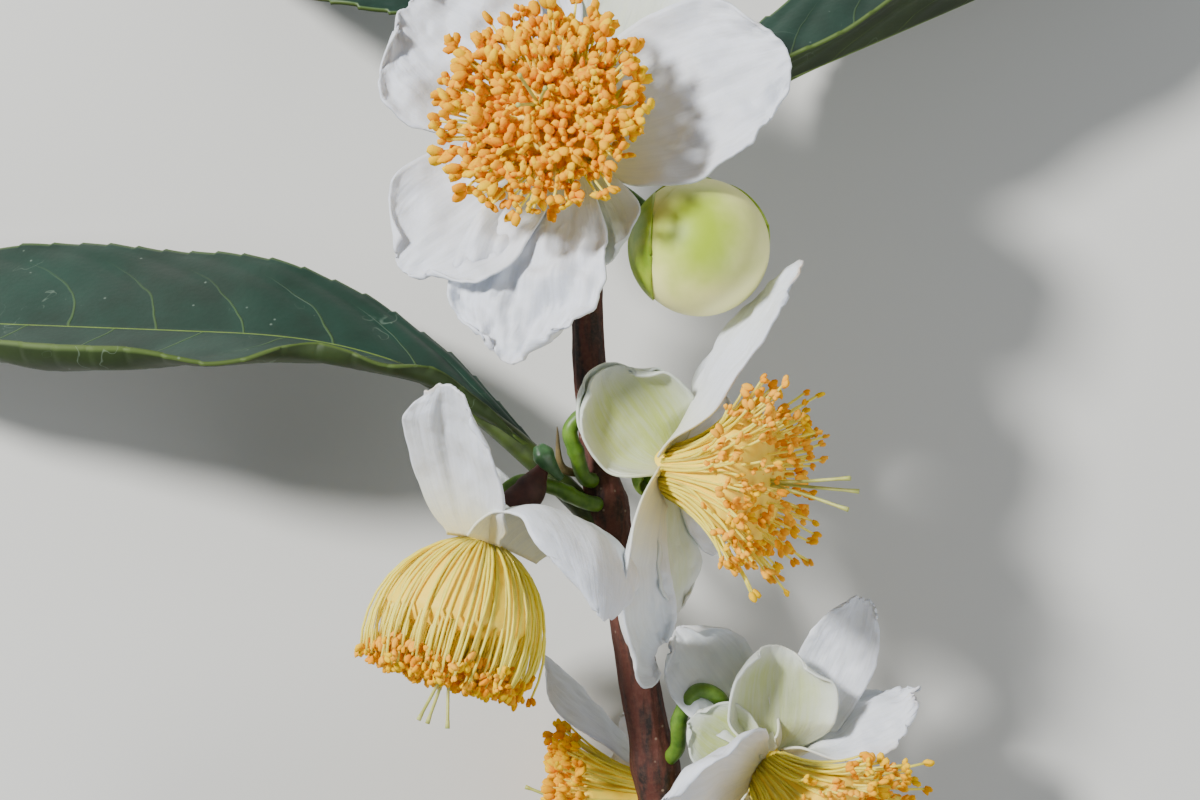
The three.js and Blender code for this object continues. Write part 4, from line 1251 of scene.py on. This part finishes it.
class SPRIG_OT_bud(bpy.types.Operator):
    """Closed bud of overlapping petals on its calyx and stalk"""

    bl_idname = "tea_sprig.bud"
    bl_label = "Bud"

    def execute(self, context):
        matrix = bloom_matrix(BUD)
        cream = bud_material()
        green = green_material("bud sepal skin", 0x86A61C, 0xA8BA34, 0.45)
        bm = bmesh.new()
        made = bmesh.ops.create_uvsphere(bm, u_segments=64, v_segments=40, radius=BUD_RADIUS)["verts"]
        move_to(made, placed(matrix, [(vert.co.x, vert.co.y, vert.co.z * BUD_STRETCH) for vert in made]))
        finish_piece("bud_core", bm, [cream], "bud_petals")
        for name, rows, columns, lines, low, thickness, skin, slot, node in (
            ("bud_outer_petals", BUD_PETALS, 40, 30, 8, 0.3, cream, "bud", "bud_petals"),
            ("bud_sepals", BUD_SEPALS, 28, 28, 6, 0.2, green, "young_green", "bud_calyx"),
        ):
            bm = bmesh.new()
            for row in rows:
                add_sheet(bm, columns, lines, bud_sheet(*row, low))
            thicken(finish_piece(name, bm, [skin], node), thickness)
        ends = placed(matrix, [(0, 0, -BUD_RADIUS * BUD_STRETCH - 1.0), (0, 0, -BUD_RADIUS)])
        share = np.linspace(0, 1, 61)
        bm = bmesh.new()
        radius = STALK_RADIUS * (1 + 0.7 * smooth((share - 0.7) / 0.3))
        add_tube(bm, curve_through([*BUD["stalk"], *ends], share), radius, 16)
        skin = green_material("bud stalk skin", 0x33500D, 0x587822, 0.45)
        finish_piece("bud_stalk", bm, [skin], "bud_calyx")
        return {"FINISHED"}


class SPRIG_OT_small_parts(bpy.types.Operator):
    """Dry bracts, axillary bud, tip bud and scale leaf"""

    bl_idname = "tea_sprig.small_parts"
    bl_label = "Bracts and small buds"

    def execute(self, context):
        share = np.linspace(0, 1, 49)
        angle = ring(24)[None, :]
        for number, (name, part) in enumerate(SMALL_PARTS.items()):
            foot, middle, tip = part["radii"]
            widest = part["widest"]
            radius = np.where(
                share < widest, mix(foot, middle, smooth(share / widest)),
                mix(middle, tip, np.clip((share - widest) / (1 - widest), 0, 1) ** 1.4))
            uneven = wave_noise(np.cos(angle) * 3 + 9, share[:, None] * 6, SMALL_SEED + number)
            keel = 0.06 * np.cos(3 * angle) + 0.05 * uneven
            bm = bmesh.new()
            add_tube(bm, curve_through(part["places"], share), radius[:, None] * (1 + keel))
            finish_piece(f"{name}_skin", bm, [green_material(*part["skin"])], name)
        return {"FINISHED"}


class SPRIG_OT_stage(bpy.types.Operator):
    """Pale floor, soft studio light and the camera above the sprig"""

    bl_idname = "tea_sprig.stage"
    bl_label = "Stage"

    def execute(self, context):
        scene = context.scene
        bm = bmesh.new()
        bmesh.ops.create_grid(bm, x_segments=1, y_segments=1, size=FLOOR_SIZE)
        mesh = bpy.data.meshes.new("floor")
        bm.to_mesh(mesh)
        bm.free()
        paper, add = new_material("pale studio paper")
        mesh.materials.append(shaded(paper, {"Base Color": linear(FLOOR_COLOUR), "Roughness": 0.9}))
        floor = bpy.data.objects.new("floor", mesh)
        scene.collection.objects.link(floor)
        world = bpy.data.worlds.new("studio")
        world.use_nodes = True
        background = world.node_tree.nodes["Background"]
        background.inputs["Color"].default_value = SKY_COLOUR
        background.inputs["Strength"].default_value = SKY_STRENGTH
        scene.world = world
        for row in LAMPS:
            lamp = bpy.data.lights.new(row["name"], "AREA")
            lamp.shape = "DISK"
            lamp.size = row["size"]
            lamp.energy = row["power"]
            light = bpy.data.objects.new(row["name"], lamp)
            light.location = row["place"]
            light.rotation_euler = (-light.location).to_track_quat("-Z", "Y").to_euler()
            scene.collection.objects.link(light)
        camera = bpy.data.objects.new("camera", bpy.data.cameras.new("camera"))
        camera.data.sensor_width = SENSOR_WIDTH
        camera.data.lens = CAMERA_LENS
        camera.data.clip_start = NEAREST_VIEW
        camera.location = metres((0, 0, CAMERA_HEIGHT))
        scene.collection.objects.link(camera)
        scene.camera = camera
        return {"FINISHED"}


STEPS = [
    SPRIG_OT_stage, SPRIG_OT_stem, SPRIG_OT_leaves, SPRIG_OT_petals, SPRIG_OT_stamens, SPRIG_OT_stalks,
    SPRIG_OT_bud, SPRIG_OT_small_parts,
]


class SPRIG_PT_panel(bpy.types.Panel):
    """Sidebar panel with the sprig's looks and steps"""

    bl_label = "Tea Sprig"
    bl_idname = "SPRIG_PT_panel"
    bl_space_type = "VIEW_3D"
    bl_region_type = "UI"
    bl_category = "Tea Sprig"

    def draw(self, context):
        looks = context.scene.tea_sprig
        for name in SprigLooks.__annotations__:
            self.layout.prop(looks, name)
        for step in STEPS:
            self.layout.operator(step.bl_idname)


def register():
    """Registers the properties, operators and panel."""
    for kind in (SprigLooks, *STEPS, SPRIG_PT_panel):
        bpy.utils.register_class(kind)
    bpy.types.Scene.tea_sprig = PointerProperty(type=SprigLooks)


def unregister():
    """Takes the properties, operators and panel away again."""
    del bpy.types.Scene.tea_sprig
    for kind in reversed((SprigLooks, *STEPS, SPRIG_PT_panel)):
        bpy.utils.unregister_class(kind)


def main():
    """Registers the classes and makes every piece."""
    register()
    bpy.ops.tea_sprig.stage()
    bpy.ops.tea_sprig.stem()
    bpy.ops.tea_sprig.leaves()
    bpy.ops.tea_sprig.petals()
    bpy.ops.tea_sprig.stamens()
    bpy.ops.tea_sprig.stalks()
    bpy.ops.tea_sprig.bud()
    bpy.ops.tea_sprig.small_parts()


if __name__ == "__main__":
    main()
